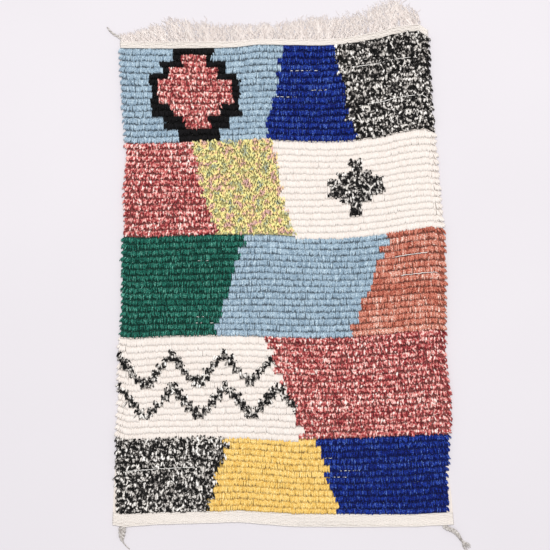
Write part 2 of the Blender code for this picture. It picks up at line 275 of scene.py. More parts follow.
# Each shade list is a softly spun wool yarn, dyed in the hank, so that its ends differ a little.
# The marls are plied from strands of unlike colours, which gives speckles; the multi is a carded
# mix of fluffy yarn; the cream is undyed and slightly uneven. A real ply is 1.5 mm long and its
# fuzz finer still, and both are drawn coarser so that they show.
FINISHES = {
    Yarn.CREAM: SpunYarn(
        "undyed_cream_wool", ("#DBCFC7", "#E5DCD5", "#EBE4DE", "#F1ECE8"),
        fleck_share=0.3, ply_depth=0.3 * MM, sheen=0.05),
    Yarn.SKY: SpunYarn("sky_blue_wool", ("#677E91", "#8BA2B4", "#A3B9C9", "#CADDE7"),
                       fleck_size=3.0 * MM, fleck_share=0.55, fleck_contrast=2.6, sheen=0.1),
    Yarn.ROYAL: SpunYarn("royal_blue_wool", ("#000233", "#021362", "#08278F", "#2246AA", "#6484CC"),
                         fleck_size=3.0 * MM, fleck_share=0.5, fleck_contrast=2.8, sheen=0.03),
    Yarn.GREEN: SpunYarn("bottle_green_wool", ("#01201C", "#074C41", "#186A5B", "#388674", "#76B7A7"),
                         fleck_size=3.0 * MM, fleck_share=0.5, fleck_contrast=2.6, sheen=0.03),
    Yarn.GOLDEN: SpunYarn("golden_yellow_wool", ("#CB983C", "#E2BC62", "#EFCC77", "#FBE5A6"),
                          fleck_size=2.6 * MM, fleck_share=0.6, fleck_contrast=2.6, sheen=0.1),
    Yarn.CORAL: SpunYarn(
        "coral_wool", ("#732D22", "#AE5A48", "#C67965", "#D99884", "#F6E0D4"),
        fleck_size=3.0 * MM, fleck_share=0.5, fleck_contrast=2.6, sheen=0.05),
    Yarn.BLACK: SpunYarn("black_wool", ("#050506", "#0C0B0E", "#1A191D"), sheen=0.02),
    Yarn.BLACK_WHITE: SpunYarn(
        "black_white_marl", ("#060607", "#0E0D0E", "#2A2827", "#8E8985", "#E6E2DC", "#FBF9F6"),
        fleck_size=10.0 * MM, fleck_share=0.55, fleck_contrast=3.0, sheen=0.03),
    Yarn.ROSE: SpunYarn(
        "rose_marl", ("#6C181F", "#A54044", "#CE726E", "#F4BDB5", "#FFF4EE"),
        fleck_size=8.0 * MM, fleck_share=0.5, fleck_contrast=2.6, sheen=0.05),
    Yarn.YELLOW_MULTI: SpunYarn(
        "yellow_multi_fluff",
        ("#98A4A8", "#CFCF98", "#F2EA9E", "#FBF0A8", "#F7DC9E", "#E8C0AC", "#D0A8AE"),
        fleck_size=21.0 * MM, fleck_share=0.80, fleck_contrast=1.7, roughness=0.97, sheen=0.15),
}

# The cream wool of the flat-woven ends: it lies level, so that no shade gathers between its cords.
BAND_FINISH = SpunYarn("undyed_cream_weft_wool", ("#D8D1CA", "#E1DBD5", "#E8E2DD"), fleck_share=0.3,
                       ply_depth=0.3 * MM, sheen=0.05)

# Undyed cotton, two-plied and slightly glossier than the wool. The wefts are bleached.
WARP_FINISH = SpunYarn("undyed_warp_cotton", ("#DDD2CC", "#E9E0DC", "#F3EDE9"), fleck_size=9.0 * MM,
                       fleck_share=0.3, ply_pitch=2.0 * MM, ply_depth=0.3 * MM, roughness=0.8,
                       sheen=0.1)
WEFT_FINISH = SpunYarn("bleached_weft_cotton", ("#EFEDE8", "#FBFAF7"), fleck_share=0.3,
                       ply_pitch=2.0 * MM, ply_depth=0.3 * MM, roughness=0.8, sheen=0.1)

# The warps' own cotton, greyed by handling and by the shade between its strands.
CORNER_FINISH = SpunYarn("greyed_corner_yarn", ("#8A8480", "#AAA4A0", "#C4BFBB", "#DAD6D2"),
                         fleck_size=7.0 * MM, fleck_share=0.4, ply_pitch=2.2 * MM,
                         ply_depth=0.35 * MM, roughness=0.85, sheen=0.15)


@dataclass(frozen=True)
class KnottedCloth:
    """Finish of the cloth under the pile: matt wool in the knots' own yarns on a coarse weave.

    It gives the eye faint ribs across the rug between the rows of pile, as a bump and as painted
    shade and light: the colour is darker where the weave is low and lighter where it is high. A real
    weft is half as thick, and is drawn coarser so that it shows.
    """

    name: str = "knotted_wool_cloth"
    weft_pitch: float = 3.0 * MM
    warp_pitch: float = 5.0 * MM
    warp_share: float = 0.35
    weave_depth: float = 0.7 * MM
    # Painted shade in the weave's hollows and painted light on its tops, as factors on the colour.
    darkest: float = 0.80
    lightest: float = 1.12

    def material(self) -> bpy.types.Material:
        """Builds the material.

        Returns:
            The material, which reads each knot's colour, with its painted shade, from the mesh.
        """
        material, shader = new_material(self.name, {
            "Roughness": 0.93, "Sheen Weight": 0.2, "Specular IOR Level": 0.2})
        tree = material.node_tree
        place = add_node(tree, "ShaderNodeTexCoord").outputs["Object"]
        paint = add_node(tree, "ShaderNodeAttribute", {"attribute_name": "yarn_colour"})
        weft = add_node(tree, "ShaderNodeTexWave", {
            "bands_direction": "Y", "Scale": WAVE_PITCH / self.weft_pitch, "Distortion": 1.5,
            "Detail": 2.0, "Detail Scale": 1.5}, {"Vector": place})
        warp = add_node(tree, "ShaderNodeTexWave", {
            "bands_direction": "X", "Scale": WAVE_PITCH / self.warp_pitch, "Distortion": 0.8,
        }, {"Vector": place})
        weave = add_node(tree, "ShaderNodeMix", {"data_type": "FLOAT", "Factor": self.warp_share},
                         {2: weft.outputs["Fac"], 3: warp.outputs["Fac"]})
        # Painted shade and light: the colour follows the weave's height, the same height that drives
        # the bump.
        level = add_node(tree, "ShaderNodeMapRange", {"To Min": self.darkest, "To Max": self.lightest},
                         {"Value": weave.outputs[0]})
        colour = add_node(tree, "ShaderNodeVectorMath", {"operation": "SCALE"},
                          {0: paint.outputs["Color"], "Scale": level.outputs["Result"]})
        bump = add_node(tree, "ShaderNodeBump", {"Strength": 0.8, "Distance": self.weave_depth},
                        {"Height": weave.outputs[0]})
        tree.links.new(colour.outputs["Vector"], shader.inputs["Base Color"])
        tree.links.new(bump.outputs["Normal"], shader.inputs["Normal"])
        return material


@dataclass(frozen=True)
class PaintedFloor:
    """Finish of the floor: matt paint, plain and pale, with a cloudiness that barely shows."""

    name: str = "pale_painted_floor"
    stops: tuple[tuple[float, str], ...] = ((0.3, "#D3D0D5"), (0.7, "#D6D3D8"))
    clouds_per_metre: float = 1.2

    def material(self) -> bpy.types.Material:
        """Builds the material.

        Returns:
            The material.
        """
        material, shader = new_material(self.name, {"Roughness": 0.9, "Specular IOR Level": 0.1})
        tree = material.node_tree
        place = add_node(tree, "ShaderNodeTexCoord").outputs["Object"]
        cloud = add_node(tree, "ShaderNodeTexNoise", {"Scale": self.clouds_per_metre, "Detail": 2.0},
                         {"Vector": place})
        colour = add_node(tree, "ShaderNodeValToRGB", {"stops": self.stops},
                          {"Fac": cloud.outputs["Fac"]})
        tree.links.new(colour.outputs["Color"], shader.inputs["Base Color"])
        return material


@dataclass(frozen=True)
class PileHabit:
    """How one yarn stands in the pile, and how its shades spread from end to end and row to row.

    Stubs is how much the reach of the shortest ends falls off, so that tips show all through a row.
    The groove shade is painted shade: how much darker the cloth is than its yarn between the rows,
    deep in the pile, where shade falls.
    """

    ends: int = 3
    sides: int = 3
    flat_top: bool = False
    radius: float = 0.0025
    flatness: float = 0.60
    crest: float = 0.0162
    reach: float = 0.0190
    tip_height: float = 0.0080
    root_scatter: float = 0.10
    scatter: float = 0.0024
    unevenness: float = 0.13
    stubs: float = 0.28
    kink: float = 0.24
    waviness: float = 1.0
    shade_spread: float = 0.24
    row_spread: float = 0.07
    patch_spread: float = 0.0
    # Painted shade: the share of its yarn's colour that the cloth keeps between the rows.
    painted_groove_shade: float = 0.35


# Each habit's groove shade is painted shade on the cloth between its rows.
HABITS = {
    Yarn.CREAM: PileHabit(sides=4, flat_top=True, radius=0.0034, flatness=0.36, crest=0.0152,
                          reach=0.0268, tip_height=0.0126, scatter=0.0009, unevenness=0.018,
                          stubs=0.0, kink=0.03, waviness=0.35, shade_spread=0.12, row_spread=0.03,
                          painted_groove_shade=1.0),
    Yarn.SKY: PileHabit(sides=4, flat_top=True, radius=0.0030, flatness=0.50, crest=0.0156,
                        reach=0.0208, tip_height=0.0094, scatter=0.0022, unevenness=0.065,
                        root_scatter=0.08, stubs=0.13, kink=0.20, waviness=0.8, shade_spread=0.24,
                        painted_groove_shade=0.50),
    Yarn.ROYAL: PileHabit(shade_spread=0.28),
    Yarn.GREEN: PileHabit(crest=0.0165, reach=0.0198, tip_height=0.0084, shade_spread=0.25),
    Yarn.GOLDEN: PileHabit(sides=4, flat_top=True, radius=0.0032, flatness=0.44, crest=0.0154,
                           reach=0.0222, tip_height=0.0110, scatter=0.0020, unevenness=0.050,
                           root_scatter=0.12, stubs=0.10, kink=0.16, waviness=0.8,
                           painted_groove_shade=0.62),
    Yarn.CORAL: PileHabit(sides=4, flat_top=True, radius=0.0030, flatness=0.50, crest=0.0158,
                          reach=0.0204, tip_height=0.0092, scatter=0.0024, unevenness=0.080,
                          root_scatter=0.08, stubs=0.16, kink=0.20, waviness=0.8, shade_spread=0.30,
                          row_spread=0.16, patch_spread=0.05, painted_groove_shade=0.42),
    Yarn.BLACK: PileHabit(),
    Yarn.BLACK_WHITE: PileHabit(sides=4, radius=0.0029, flatness=0.9, crest=0.0166, reach=0.0190,
                                tip_height=0.0080, root_scatter=0.22, scatter=0.0085,
                                unevenness=0.22, shade_spread=0.36, patch_spread=0.10),
    Yarn.ROSE: PileHabit(sides=4, radius=0.0026, flatness=0.9, crest=0.0164, reach=0.0178,
                         root_scatter=0.14, scatter=0.0052, unevenness=0.18, shade_spread=0.34,
                         patch_spread=0.05),
    Yarn.YELLOW_MULTI: PileHabit(ends=5, radius=0.0026, flatness=0.8, crest=0.0168, reach=0.0124,
                                 tip_height=0.0116, root_scatter=0.42, scatter=0.0050,
                                 unevenness=0.16, stubs=0.30, shade_spread=0.20, row_spread=0.0,
                                 painted_groove_shade=0.5),
}


@dataclass(frozen=True)
class Outline:
    """The cloth's uneven outline, and places on the cloth by shares of its width and length."""

    sides: tuple = SIDE_EDGES
    ends: tuple = END_EDGES
    bare_edge: float = 0.014
    bare_rows: float = 9.0
    first_pile_row: int = 2
    end_points: int = 201

    def bare_share(self, row: np.ndarray | int) -> np.ndarray:
        """Share of the width at either side that a row leaves bare, which dies out upwards."""
        left = 1.0 - (np.asarray(row) - self.first_pile_row) / self.bare_rows
        return self.bare_edge / FIELD_WIDTH * np.clip(left, 0.0, 1.0)

    def point(self, across: np.ndarray, along: np.ndarray) -> tuple[np.ndarray, np.ndarray]:
        """Finds places on the cloth.

        Args:
            across: shares of the width from the left.
            along: shares of the length from the bottom.

        Returns:
            The places' X and Y in the frame.
        """
        ends, sides = np.array(self.ends), np.array(self.sides)
        bottom = -0.5 * FIELD_LENGTH - np.interp(across, ends[:, 0], ends[:, 1])
        top = 0.5 * FIELD_LENGTH + np.interp(across, ends[:, 0], ends[:, 2])
        y = bottom + along * (top - bottom)
        height = y / FIELD_LENGTH + 0.5
        left = -0.5 * FIELD_WIDTH - np.interp(height, sides[:, 0], sides[:, 1])
        right = 0.5 * FIELD_WIDTH + np.interp(height, sides[:, 0], sides[:, 2])
        x = left + across * (right - left)
        return x + FIELD_CENTRE[0], y + FIELD_CENTRE[1]

    def end_line(self, top: bool) -> tuple[np.ndarray, np.ndarray]:
        """Places along the cloth's top or bottom edge, from left to right."""
        return self.point(np.linspace(0.0, 1.0, self.end_points), np.full(self.end_points, float(top)))

    def row_point(self, across: np.ndarray, rise: np.ndarray) -> tuple[np.ndarray, np.ndarray]:
        """Finds places on the cloth by row, with the rows' wander.

        Args:
            across: shares of the width from the left.
            rise: rows from the bottom edge.

        Returns:
            The places' X and Y in the frame.
        """
        x, y = self.point(across, rise / ROWS)
        wander = np.sin(WANDER_PER_METRE * (x - FIELD_CENTRE[0]) + WANDER_PER_ROW * rise)
        fade = np.clip(np.minimum(rise, ROWS - rise), 0.0, 1.0)
        return x, y + ROW_WANDER * wander * fade


@dataclass(frozen=True)
class Block:
    """One block of a band: its yarn, and where it ends at the band's lower and upper side."""

    yarn: Yarn
    end_low: float
    end_high: float


@dataclass(frozen=True)
class Band:
    """One band of the chart: its heights and its blocks from left to right."""

    low: float
    high: float
    blocks: tuple[Block, ...]


@dataclass(frozen=True)
class Cross:
    """A stepped cross in a block: its middle, the arms' half sizes in metres and its outline."""

    across: float
    height: float
    arms: tuple[tuple[float, float], ...]
    yarn: Yarn
    rim: float = 0.0


@dataclass(frozen=True)
class Zigzag:
    """A zigzag line that crosses every block of one yarn: its middle, swing, period and width."""

    height: float
    swing: float
    period: float
    thickness: float


@dataclass
class Chart:
    """The weaver's chart: a yarn for each knot of each row.

    The design is a plain one of staggered blocks with stepped sides, two crosses in steps and two
    zigzags, all of which are common in rugs of this kind.
    """

    bands: tuple[Band, ...] = (
        Band(0.000, 0.185, (
            Block(Yarn.BLACK_WHITE, 0.26, 0.34),
            Block(Yarn.GOLDEN, 0.68, 0.60),
            Block(Yarn.ROYAL, 1.0, 1.0))),
        Band(0.185, 0.395, (
            Block(Yarn.CREAM, 0.56, 0.44),
            Block(Yarn.ROSE, 1.0, 1.0))),
        Band(0.395, 0.600, (
            Block(Yarn.GREEN, 0.29, 0.38),
            Block(Yarn.SKY, 0.71, 0.83),
            Block(Yarn.CORAL, 1.0, 1.0))),
        Band(0.600, 0.790, (
            Block(Yarn.ROSE, 0.29, 0.20),
            Block(Yarn.YELLOW_MULTI, 0.53, 0.46),
            Block(Yarn.CREAM, 1.0, 1.0))),
        Band(0.790, 1.000, (
            Block(Yarn.SKY, 0.45, 0.54),
            Block(Yarn.ROYAL, 0.75, 0.69),
            Block(Yarn.BLACK_WHITE, 1.0, 1.0))),
    )
    crosses: tuple[Cross, ...] = (
        Cross(0.235, 0.893, ((0.040, 0.118), (0.078, 0.080), (0.118, 0.040)), Yarn.ROSE, rim=0.026),
        Cross(0.735, 0.695, ((0.020, 0.088), (0.052, 0.052), (0.088, 0.020)), Yarn.BLACK_WHITE),
    )
    zigzags: tuple[Zigzag, ...] = (
        Zigzag(0.256, 0.030, 0.160, 0.022),
        Zigzag(0.322, 0.030, 0.160, 0.022),
    )
    woven_rows_low: int = 2
    woven_rows_high: int = 1
    step_rows: int = 2
    cross_stray: float = 0.5
    zigzag_stray: float = 0.3

    def is_knotted(self, row: int) -> bool:
        """Whether a row has pile, as all have but those of the flat-woven ends."""
        return self.woven_rows_low <= row < ROWS - self.woven_rows_high

    def block_yarn(self, across: float, row: int) -> Yarn:
        """Finds the yarn of a knot by the blocks alone.

        Args:
            across: the knot's share of the width from the left.
            row: its row from the bottom.

        Returns:
            The yarn of the block that the knot lies in.
        """
        height = (row + 0.5) / ROWS
        band = next((b for b in self.bands if height < b.high), self.bands[-1])
        stepped = (row // self.step_rows * self.step_rows + 0.5 * self.step_rows) / ROWS
        share = min(max((stepped - band.low) / (band.high - band.low), 0.0), 1.0)
        ends = [b.end_low + share * (b.end_high - b.end_low) for b in band.blocks]
        inside = (b.yarn for b, end in zip(band.blocks, ends) if across < end)
        return next(inside, band.blocks[-1].yarn)

    def yarn(self, across: float, row: int, stray: float) -> Yarn:
        """Chooses the yarn of a knot.

        Args:
            across: the knot's share of the width from the left.
            row: its row from the bottom.
            stray: how far the boundaries stray in its row, as a share of the width.

        Returns:
            The knot's yarn.
        """
        if not self.is_knotted(row):
            return Yarn.CREAM
        block = self.block_yarn(across + stray, row)
        height = (row + 0.5) / ROWS
        for cross in self.crosses:
            x = abs(across + self.cross_stray * stray - cross.across) * FIELD_WIDTH
            y = abs(height - cross.height) * FIELD_LENGTH
            if any(x < a and y < b for a, b in cross.arms):
                return cross.yarn
            if any(x < a + cross.rim and y < b + cross.rim for a, b in cross.arms):
                return Yarn.BLACK
        if block is Yarn.CREAM:
            for zigzag in self.zigzags:
                turn = ((across + self.zigzag_stray * stray) / zigzag.period) % 1.0
                fold = abs(turn - 0.5) * 4.0 - 1.0
                if abs(height - zigzag.height - zigzag.swing * fold) < 0.5 * zigzag.thickness:
                    return Yarn.BLACK_WHITE
        return block


@dataclass
class TubePattern:
    """One closed tube of yarn, made once and then laid along every line of yarn."""

    sides: int
    rings: int
    flat_top: bool = False
    corners: np.ndarray = field(init=False)
    ring_of: np.ndarray = field(init=False)
    loops: np.ndarray = field(init=False)
    starts: np.ndarray = field(init=False)
    around: np.ndarray = field(init=False)

    def __post_init__(self) -> None:
        """Grows the tube ring by ring from a circle and reads it into arrays."""
        bm = bmesh.new()
        bmesh.ops.create_circle(bm, cap_ends=True, segments=self.sides, radius=1.0)
        face = bm.faces[:][0]
        for _ in range(1, self.rings):
            geom = [face, *face.edges, *face.verts]
            grown = bmesh.ops.extrude_face_region(bm, geom=geom)["geom"]
            fresh = [g for g in grown if isinstance(g, bmesh.types.BMVert)]
            bmesh.ops.translate(bm, verts=fresh, vec=(0.0, 0.0, 1.0))
            face = next(g for g in grown if isinstance(g, bmesh.types.BMFace))
        bmesh.ops.recalc_face_normals(bm, faces=bm.faces)
        bm.verts.index_update()
        turn = math.pi / self.sides if self.flat_top else 0.0
        turned = np.array([(math.cos(turn), math.sin(turn)), (-math.sin(turn), math.cos(turn))])
        self.corners = np.array([v.co[:2] for v in bm.verts]) @ turned
        self.ring_of = np.array([round(v.co.z) for v in bm.verts])
        loops, starts, around = [], [], []
        for polygon in bm.faces:
            starts.append(len(loops))
            places = [self._place(v) for v in polygon.verts]
            levels = {round(v.co.z) for v in polygon.verts}
            wraps = 0 in places and self.sides - 1 in places and len(levels) == 2
            for vert, place in zip(polygon.verts, places):
                loops.append(vert.index)
                around.append((self.sides if wraps and place == 0 else place) / self.sides)
        self.loops, self.starts, self.around = np.array(loops), np.array(starts), np.array(around)
        bm.free()

    def _place(self, vert: bmesh.types.BMVert) -> int:
        """Number of a point within its ring."""
        return round(math.atan2(vert.co.y, vert.co.x) / (2.0 * math.pi) * self.sides) % self.sides

    def points(self, centres: np.ndarray, radii: np.ndarray, aside: tuple,
               flatness: float) -> np.ndarray:
        """Lays the tube along lines.

        Args:
            centres: a line of ring centres for each tube, tubes by rings by three.
            radii: the rings' radii, tubes by rings.
            aside: a direction that no line runs along.
            flatness: the section's depth as a share of its width.

        Returns:
            The tubes' points, tubes by points by three.
        """
        run = np.gradient(centres, axis=1)
        run /= np.linalg.norm(run, axis=2, keepdims=True)
        aside = np.array(aside, float)
        side = aside - (run @ aside)[..., None] * run
        side /= np.linalg.norm(side, axis=2, keepdims=True)
        up = np.cross(run, side)
        ring = self.ring_of
        across = self.corners[:, 0][None, :, None] * side[:, ring]
        lift = flatness * self.corners[:, 1][None, :, None] * up[:, ring]
        return centres[:, ring] + radii[:, ring, None] * (across + lift)


def yarn_mesh(name: str, pattern: TubePattern, centres: np.ndarray, radii: np.ndarray,
              tone: np.ndarray, aside: tuple = (1.0, 0.0, 0.0),
              flatness: float = 1.0) -> bpy.types.Object:
    """Joins many tubes of yarn into one object.

    Args:
        name: the piece's name.
        pattern: the tube to lay.
        centres: a line of ring centres for each tube.
        radii: the rings' radii.
        tone: each tube's place on its yarn's range of shades, from 0 to 1.
        aside: a direction that no line runs along.
        flatness: the section's depth as a share of its width.

    Returns:
        The new object, with its tone and its two UV maps.
    """
    count, size = len(centres), len(pattern.ring_of)
    points = pattern.points(centres, radii, aside, flatness)
    points[..., 2] = np.maximum(points[..., 2], 0.0)
    mesh = bpy.data.meshes.new(name)
    mesh.vertices.add(count * size)
    mesh.vertices.foreach_set("co", points.reshape(-1).astype(np.float32))
    per_tube = len(pattern.loops)
    shift = np.arange(count)[:, None]
    mesh.loops.add(count * per_tube)
    corners = (pattern.loops[None] + shift * size).reshape(-1).astype(np.int32)
    mesh.loops.foreach_set("vertex_index", corners)
    mesh.polygons.add(count * len(pattern.starts))
    starts = (pattern.starts[None] + shift * per_tube).reshape(-1).astype(np.int32)
    mesh.polygons.foreach_set("loop_start", starts)
    mesh.update(calc_edges=True)

    steps = np.linalg.norm(np.diff(centres, axis=1), axis=2)
    length = np.concatenate([np.zeros((count, 1)), np.cumsum(steps, axis=1)], axis=1)
    ring = pattern.ring_of[pattern.loops]
    girth = 2.0 * math.pi * radii.mean(axis=1)[:, None]
    strand = np.stack([pattern.around[None] * girth, length[:, ring]], axis=2)
    grid = math.ceil(math.sqrt(count))
    inside = np.stack([np.broadcast_to(pattern.around, (count, per_tube)),
                       np.broadcast_to(ring / (pattern.rings - 1), (count, per_tube))], axis=2)
    cell = np.stack([np.arange(count) % grid, np.arange(count) // grid], axis=1)[:, None]
    patch = (cell + CELL_MARGIN + (1.0 - 2.0 * CELL_MARGIN) * inside) / grid
    for layer, values in (("OFBake", patch), ("Strand", strand)):
        mesh.uv_layers.new(name=layer).data.foreach_set("uv", values.reshape(-1).astype(np.float32))
    values = np.repeat(tone, size).astype(np.float32)
    mesh.attributes.new("tone", "FLOAT", "POINT").data.foreach_set("value", values)
    mesh.shade_smooth()
    piece = bpy.data.objects.new(name, mesh)
    bpy.context.scene.collection.objects.link(piece)
    return piece


def bezier(points: np.ndarray, shares: np.ndarray) -> np.ndarray:
    """Runs smooth lines through four control points each.

    Args:
        points: control points, lines by four by three.
        shares: places along each line, from 0 to 1.

    Returns:
        Points on the lines, lines by shares by three.
    """
    t = shares[:, None]
    weights = np.stack([(1 - t) ** 3, 3 * t * (1 - t) ** 2, 3 * t ** 2 * (1 - t), t ** 3])[..., 0]
    return np.einsum("ks,nkc->nsc", weights, points)


@dataclass
class GroundCloth:
    """The cloth under the pile: a thin sheet that shows the knots' own yarns between the ends."""

    outline: Outline
    chart: Chart
    thickness: float = 0.0045
    rib: float = 0.0006
    sharp_angle: float = math.radians(40)
    seed: int = 3

    def build(self) -> bpy.types.Object:
        """Builds the sheet from a grid on the outline, one cell for each knot, flat underneath.

        Returns:
            The cloth.
        """
        bm = bmesh.new()
        bmesh.ops.create_grid(bm, x_segments=KNOTS, y_segments=ROWS, size=0.5)
        below = bmesh.ops.extrude_face_region(bm, geom=bm.faces[:])["geom"]
        low = {g for g in below if isinstance(g, bmesh.types.BMVert)}
        # Each knot's yarn colour, darkened with painted shade deep in the pile.
        paint = bm.loops.layers.float_color.new("yarn_colour")
        for face in bm.faces:
            middle = face.calc_center_median()
            colour = self.knot_colour(middle.x + 0.5, middle.y + 0.5)
            for loop in face.loops:
                loop[paint] = colour
        rng = np.random.default_rng(self.seed)
        for vert in bm.verts:
            across, along = vert.co.x + 0.5, vert.co.y + 0.5
            x, y = self.outline.row_point(np.array(across), np.array(along * ROWS))
            height = 0.0 if vert in low else self.thickness + self.rib * rng.uniform(-1.0, 1.0)
            vert.co = (float(x), float(y), height)
        bmesh.ops.recalc_face_normals(bm, faces=bm.faces)
        mesh = bpy.data.meshes.new("ground_cloth")
        bm.to_mesh(mesh)
        bm.free()
        mesh.shade_smooth()
        mesh.set_sharp_from_angle(angle=self.sharp_angle)
        cloth = bpy.data.objects.new("ground_cloth", mesh)
        bpy.context.scene.collection.objects.link(cloth)
        cloth.data.materials.append(KnottedCloth().material())
        return cloth

    def knot_colour(self, across: float, along: float) -> tuple[float, float, float, float]:
        """Colour of the cloth at a knot: the yarn's middle shade, darkened between the rows by painted
        shade.

        Args:
            across: share of the width from the left.
            along: share of the length from the bottom.

        Returns:
            A linear colour.
        """
        row = min(int(along * ROWS), ROWS - 1)
        yarn = self.chart.yarn(min(max(across, 0.0), 1.0), row, 0.0)
        if min(across, 1.0 - across) < self.outline.bare_share(row):
            yarn = Yarn.CREAM
        shades = FINISHES[yarn].shades
        middle = linear(shades[(len(shades) - 1) // 2])
        # Painted shade: the yarn's colour is darkened for the shade deep in the pile between the rows.
        return (*[HABITS[yarn].painted_groove_shade * part for part in middle[:3]], 1.0)


@dataclass
class Bend:
    """How the ends of one yarn bend: how high they rise, how far they reach, end and stray aside."""

    crest: np.ndarray
    reach: np.ndarray
    tip: np.ndarray
    aside: np.ndarray


@dataclass
class KnottedPile:
    """The pile: cut ends of yarn that rise from each knot and lie over towards the bottom.

    At both sides of the cloth the ends of each row gather into a lock that hangs over the edge.
    Fields named spread are the ranges of random factors, and fields named wave are how much of a
    row's slow waves a measure takes.
    """

    outline: Outline
    chart: Chart
    root_height: float = 0.0035
    root_place: float = 0.90
    root_slip: float = 0.10
    top_gap_rows: float = 0.12
    low_reach_rows: float = 0.06
    crest_wave: float = 0.07
    crest_unevenness: float = 0.7
    reach_wave: float = 0.10
    tip_unevenness: float = 2.0
    stub_power: float = 1.6
    stub_lift: float = 1.6
    most_stub_lift: float = 0.85
    aside_deviation: float = 0.8
    aside_wave: float = 0.5
    rise_handle: tuple[float, float] = (0.20, -0.02)
    fall_handle: tuple[float, float] = (0.70, -0.66)
    least_tip_radii: float = 1.2
    radius_spread: tuple[float, float] = (0.82, 1.18)
    ring_spread: tuple[float, float] = (0.88, 1.12)
    flare: tuple[float, ...] = (0.85, 1.0, 1.1, 0.62)
    ring_shares: tuple[float, ...] = (0.0, 0.36, 0.72, 1.0)
    lock_length: tuple[float, float] = (0.004, 0.0115)
    lock_spread: tuple[float, float] = (0.62, 1.08)
    lock_drop: float = 0.0125
    lock_drop_spread: tuple[float, float] = (0.60, 1.25)
    lock_knots: float = 2.4
    lock_pull: float = 0.92
    lock_calm: float = 0.8
    lock_tip_sink: float = 0.25
    lock_crest_sink: float = 0.22
    lock_shortening: float = 30.0
    boundary_stray: float = 0.011
    row_sway: float = 0.0016
    wave_pitches: tuple[float, ...] = (0.115, 0.047, 0.021)
    wave_shares: tuple[float, ...] = (0.45, 0.35, 0.35)
    patch_pitches: tuple[float, ...] = (0.150, 0.110, 0.085, 0.065, 0.050, 0.040)
    patch_stretch: float = 1.6
    drift_rows: int = 3
    most_deviations: float = 1.8
    most_triangles: int = 190_000
    chart_seed: int = 17
    lock_seed: int = 9
    wave_seed: int = 41
    patch_seed: int = 57
    first_yarn_seed: int = 100

    def knots(self) -> dict[Yarn, np.ndarray]:
        """Reads the chart.

        Returns:
            For each yarn, its knots as rows of two columns: knot number and row.
        """
        rng = np.random.default_rng(self.chart_seed)
        found: dict[Yarn, list[tuple[int, int]]] = {yarn: [] for yarn in Yarn}
        for row in range(ROWS):
            stray = self.boundary_stray * rng.uniform(-1.0, 1.0)
            for knot in range(KNOTS if self.chart.is_knotted(row) else 0):
                across = (knot + 0.5) / KNOTS
                found[self.chart.yarn(across, row, stray)].append((knot, row))
        return {yarn: np.array(places) for yarn, places in found.items() if places}

    def lines(self, habit: PileHabit, places: np.ndarray,
              rng: np.random.Generator) -> tuple[np.ndarray, np.ndarray]:
        """Works out the lines of one yarn's ends.

        Args:
            habit: how the yarn stands.
            places: its knots.
            rng: the source of its unevenness.

        Returns:
            The ends' ring centres and radii.
        """
        count = len(places) * habit.ends
        knot = np.repeat(places[:, 0], habit.ends).astype(float)
        row = np.repeat(places[:, 1], habit.ends)
        slip = (np.tile(np.arange(habit.ends), len(places)) + 0.5) / habit.ends
        slip = slip + rng.uniform(-self.root_slip, self.root_slip, count)
        inset = self.outline.bare_share(row)
        across = inset + (1.0 - 2.0 * inset) * np.clip((knot + slip) / KNOTS, 0.0, 1.0)
        rise = row + self.root_place + habit.root_scatter * rng.uniform(-1.0, 1.0, count)
        x, y = self.outline.row_point(across, np.minimum(rise, ROWS - self.top_gap_rows))
        wave = habit.waviness * self.row_waves(x, row)
        y = y + self.row_sway * wave[2]
        bend = self.bend(habit, rise, wave, rng)
        bend = self.gather(bend, (knot + slip, KNOTS - knot - slip), row, rng)
        return self.draw(habit, (x, y), bend, rng)

    def bend(self, habit: PileHabit, rise: np.ndarray, wave: np.ndarray,
             rng: np.random.Generator) -> Bend:
        """Works out how the ends bend within the cloth.

        Args:
            habit: how the yarn stands.
            rise: the roots' rows from the bottom edge.
            wave: the rows' slow waves at the roots.
            rng: the source of the ends' unevenness.

        Returns:
            The ends' bend.
        """
        count, uneven = len(rise), habit.unevenness
        crest = habit.crest * (1.0 + self.crest_wave * wave[0])
        crest = crest * self.spread(rng, count, self.crest_unevenness * uneven)
        stub = habit.stubs * rng.uniform(0.0, 1.0, count) ** self.stub_power
        reach = habit.reach * (1.0 + self.reach_wave * wave[1]) * self.spread(rng, count, uneven)
        longest = (rise - self.chart.woven_rows_low + self.low_reach_rows) * ROW_PITCH
        reach = np.minimum(reach, longest) * (1.0 - stub)
        tip = habit.tip_height * self.spread(rng, count, self.tip_unevenness * uneven)
        tip = tip + (crest - tip) * np.clip(self.stub_lift * stub, 0.0, self.most_stub_lift)
        stray = rng.normal(0.0, self.aside_deviation, count) + self.aside_wave * wave[2]
        return Bend(crest, reach, tip, habit.scatter * stray)

    def gather(self, bend: Bend, away: tuple[np.ndarray, np.ndarray], row: np.ndarray,
               rng: np.random.Generator) -> Bend:
        """Gathers the ends near both sides of the cloth into locks.

        Args:
            bend: the ends' bend within the cloth.
            away: the roots' distances from the left and from the right side, in knots.
            row: the roots' rows.
            rng: the source of the locks' unevenness.

        Returns:
            The bend with its locks.
        """
        inside = np.minimum(*away)
        edge = np.clip(1.0 - inside / self.lock_knots, 0.0, 1.0)
        outwards = np.where(away[0] < away[1], -1.0, 1.0)
        lock = np.random.default_rng(self.lock_seed).uniform(*self.lock_length, (2, ROWS))
        lock = lock * (1.0 - self.lock_shortening * self.outline.bare_share(np.arange(ROWS)))
        length = lock[(outwards > 0.0).astype(int), row] * rng.uniform(*self.lock_spread, len(row))
        gathered = outwards * (length + self.lock_pull * inside * FIELD_WIDTH / KNOTS)
        drop = edge * self.lock_drop * rng.uniform(*self.lock_drop_spread, len(row))
        return Bend(
            crest=bend.crest * (1.0 - self.lock_crest_sink * edge),
            reach=bend.reach * (1.0 - edge) + drop,
            tip=bend.tip * (1.0 - self.lock_tip_sink * edge),
            aside=bend.aside * (1.0 - self.lock_calm * edge) + edge * gathered)

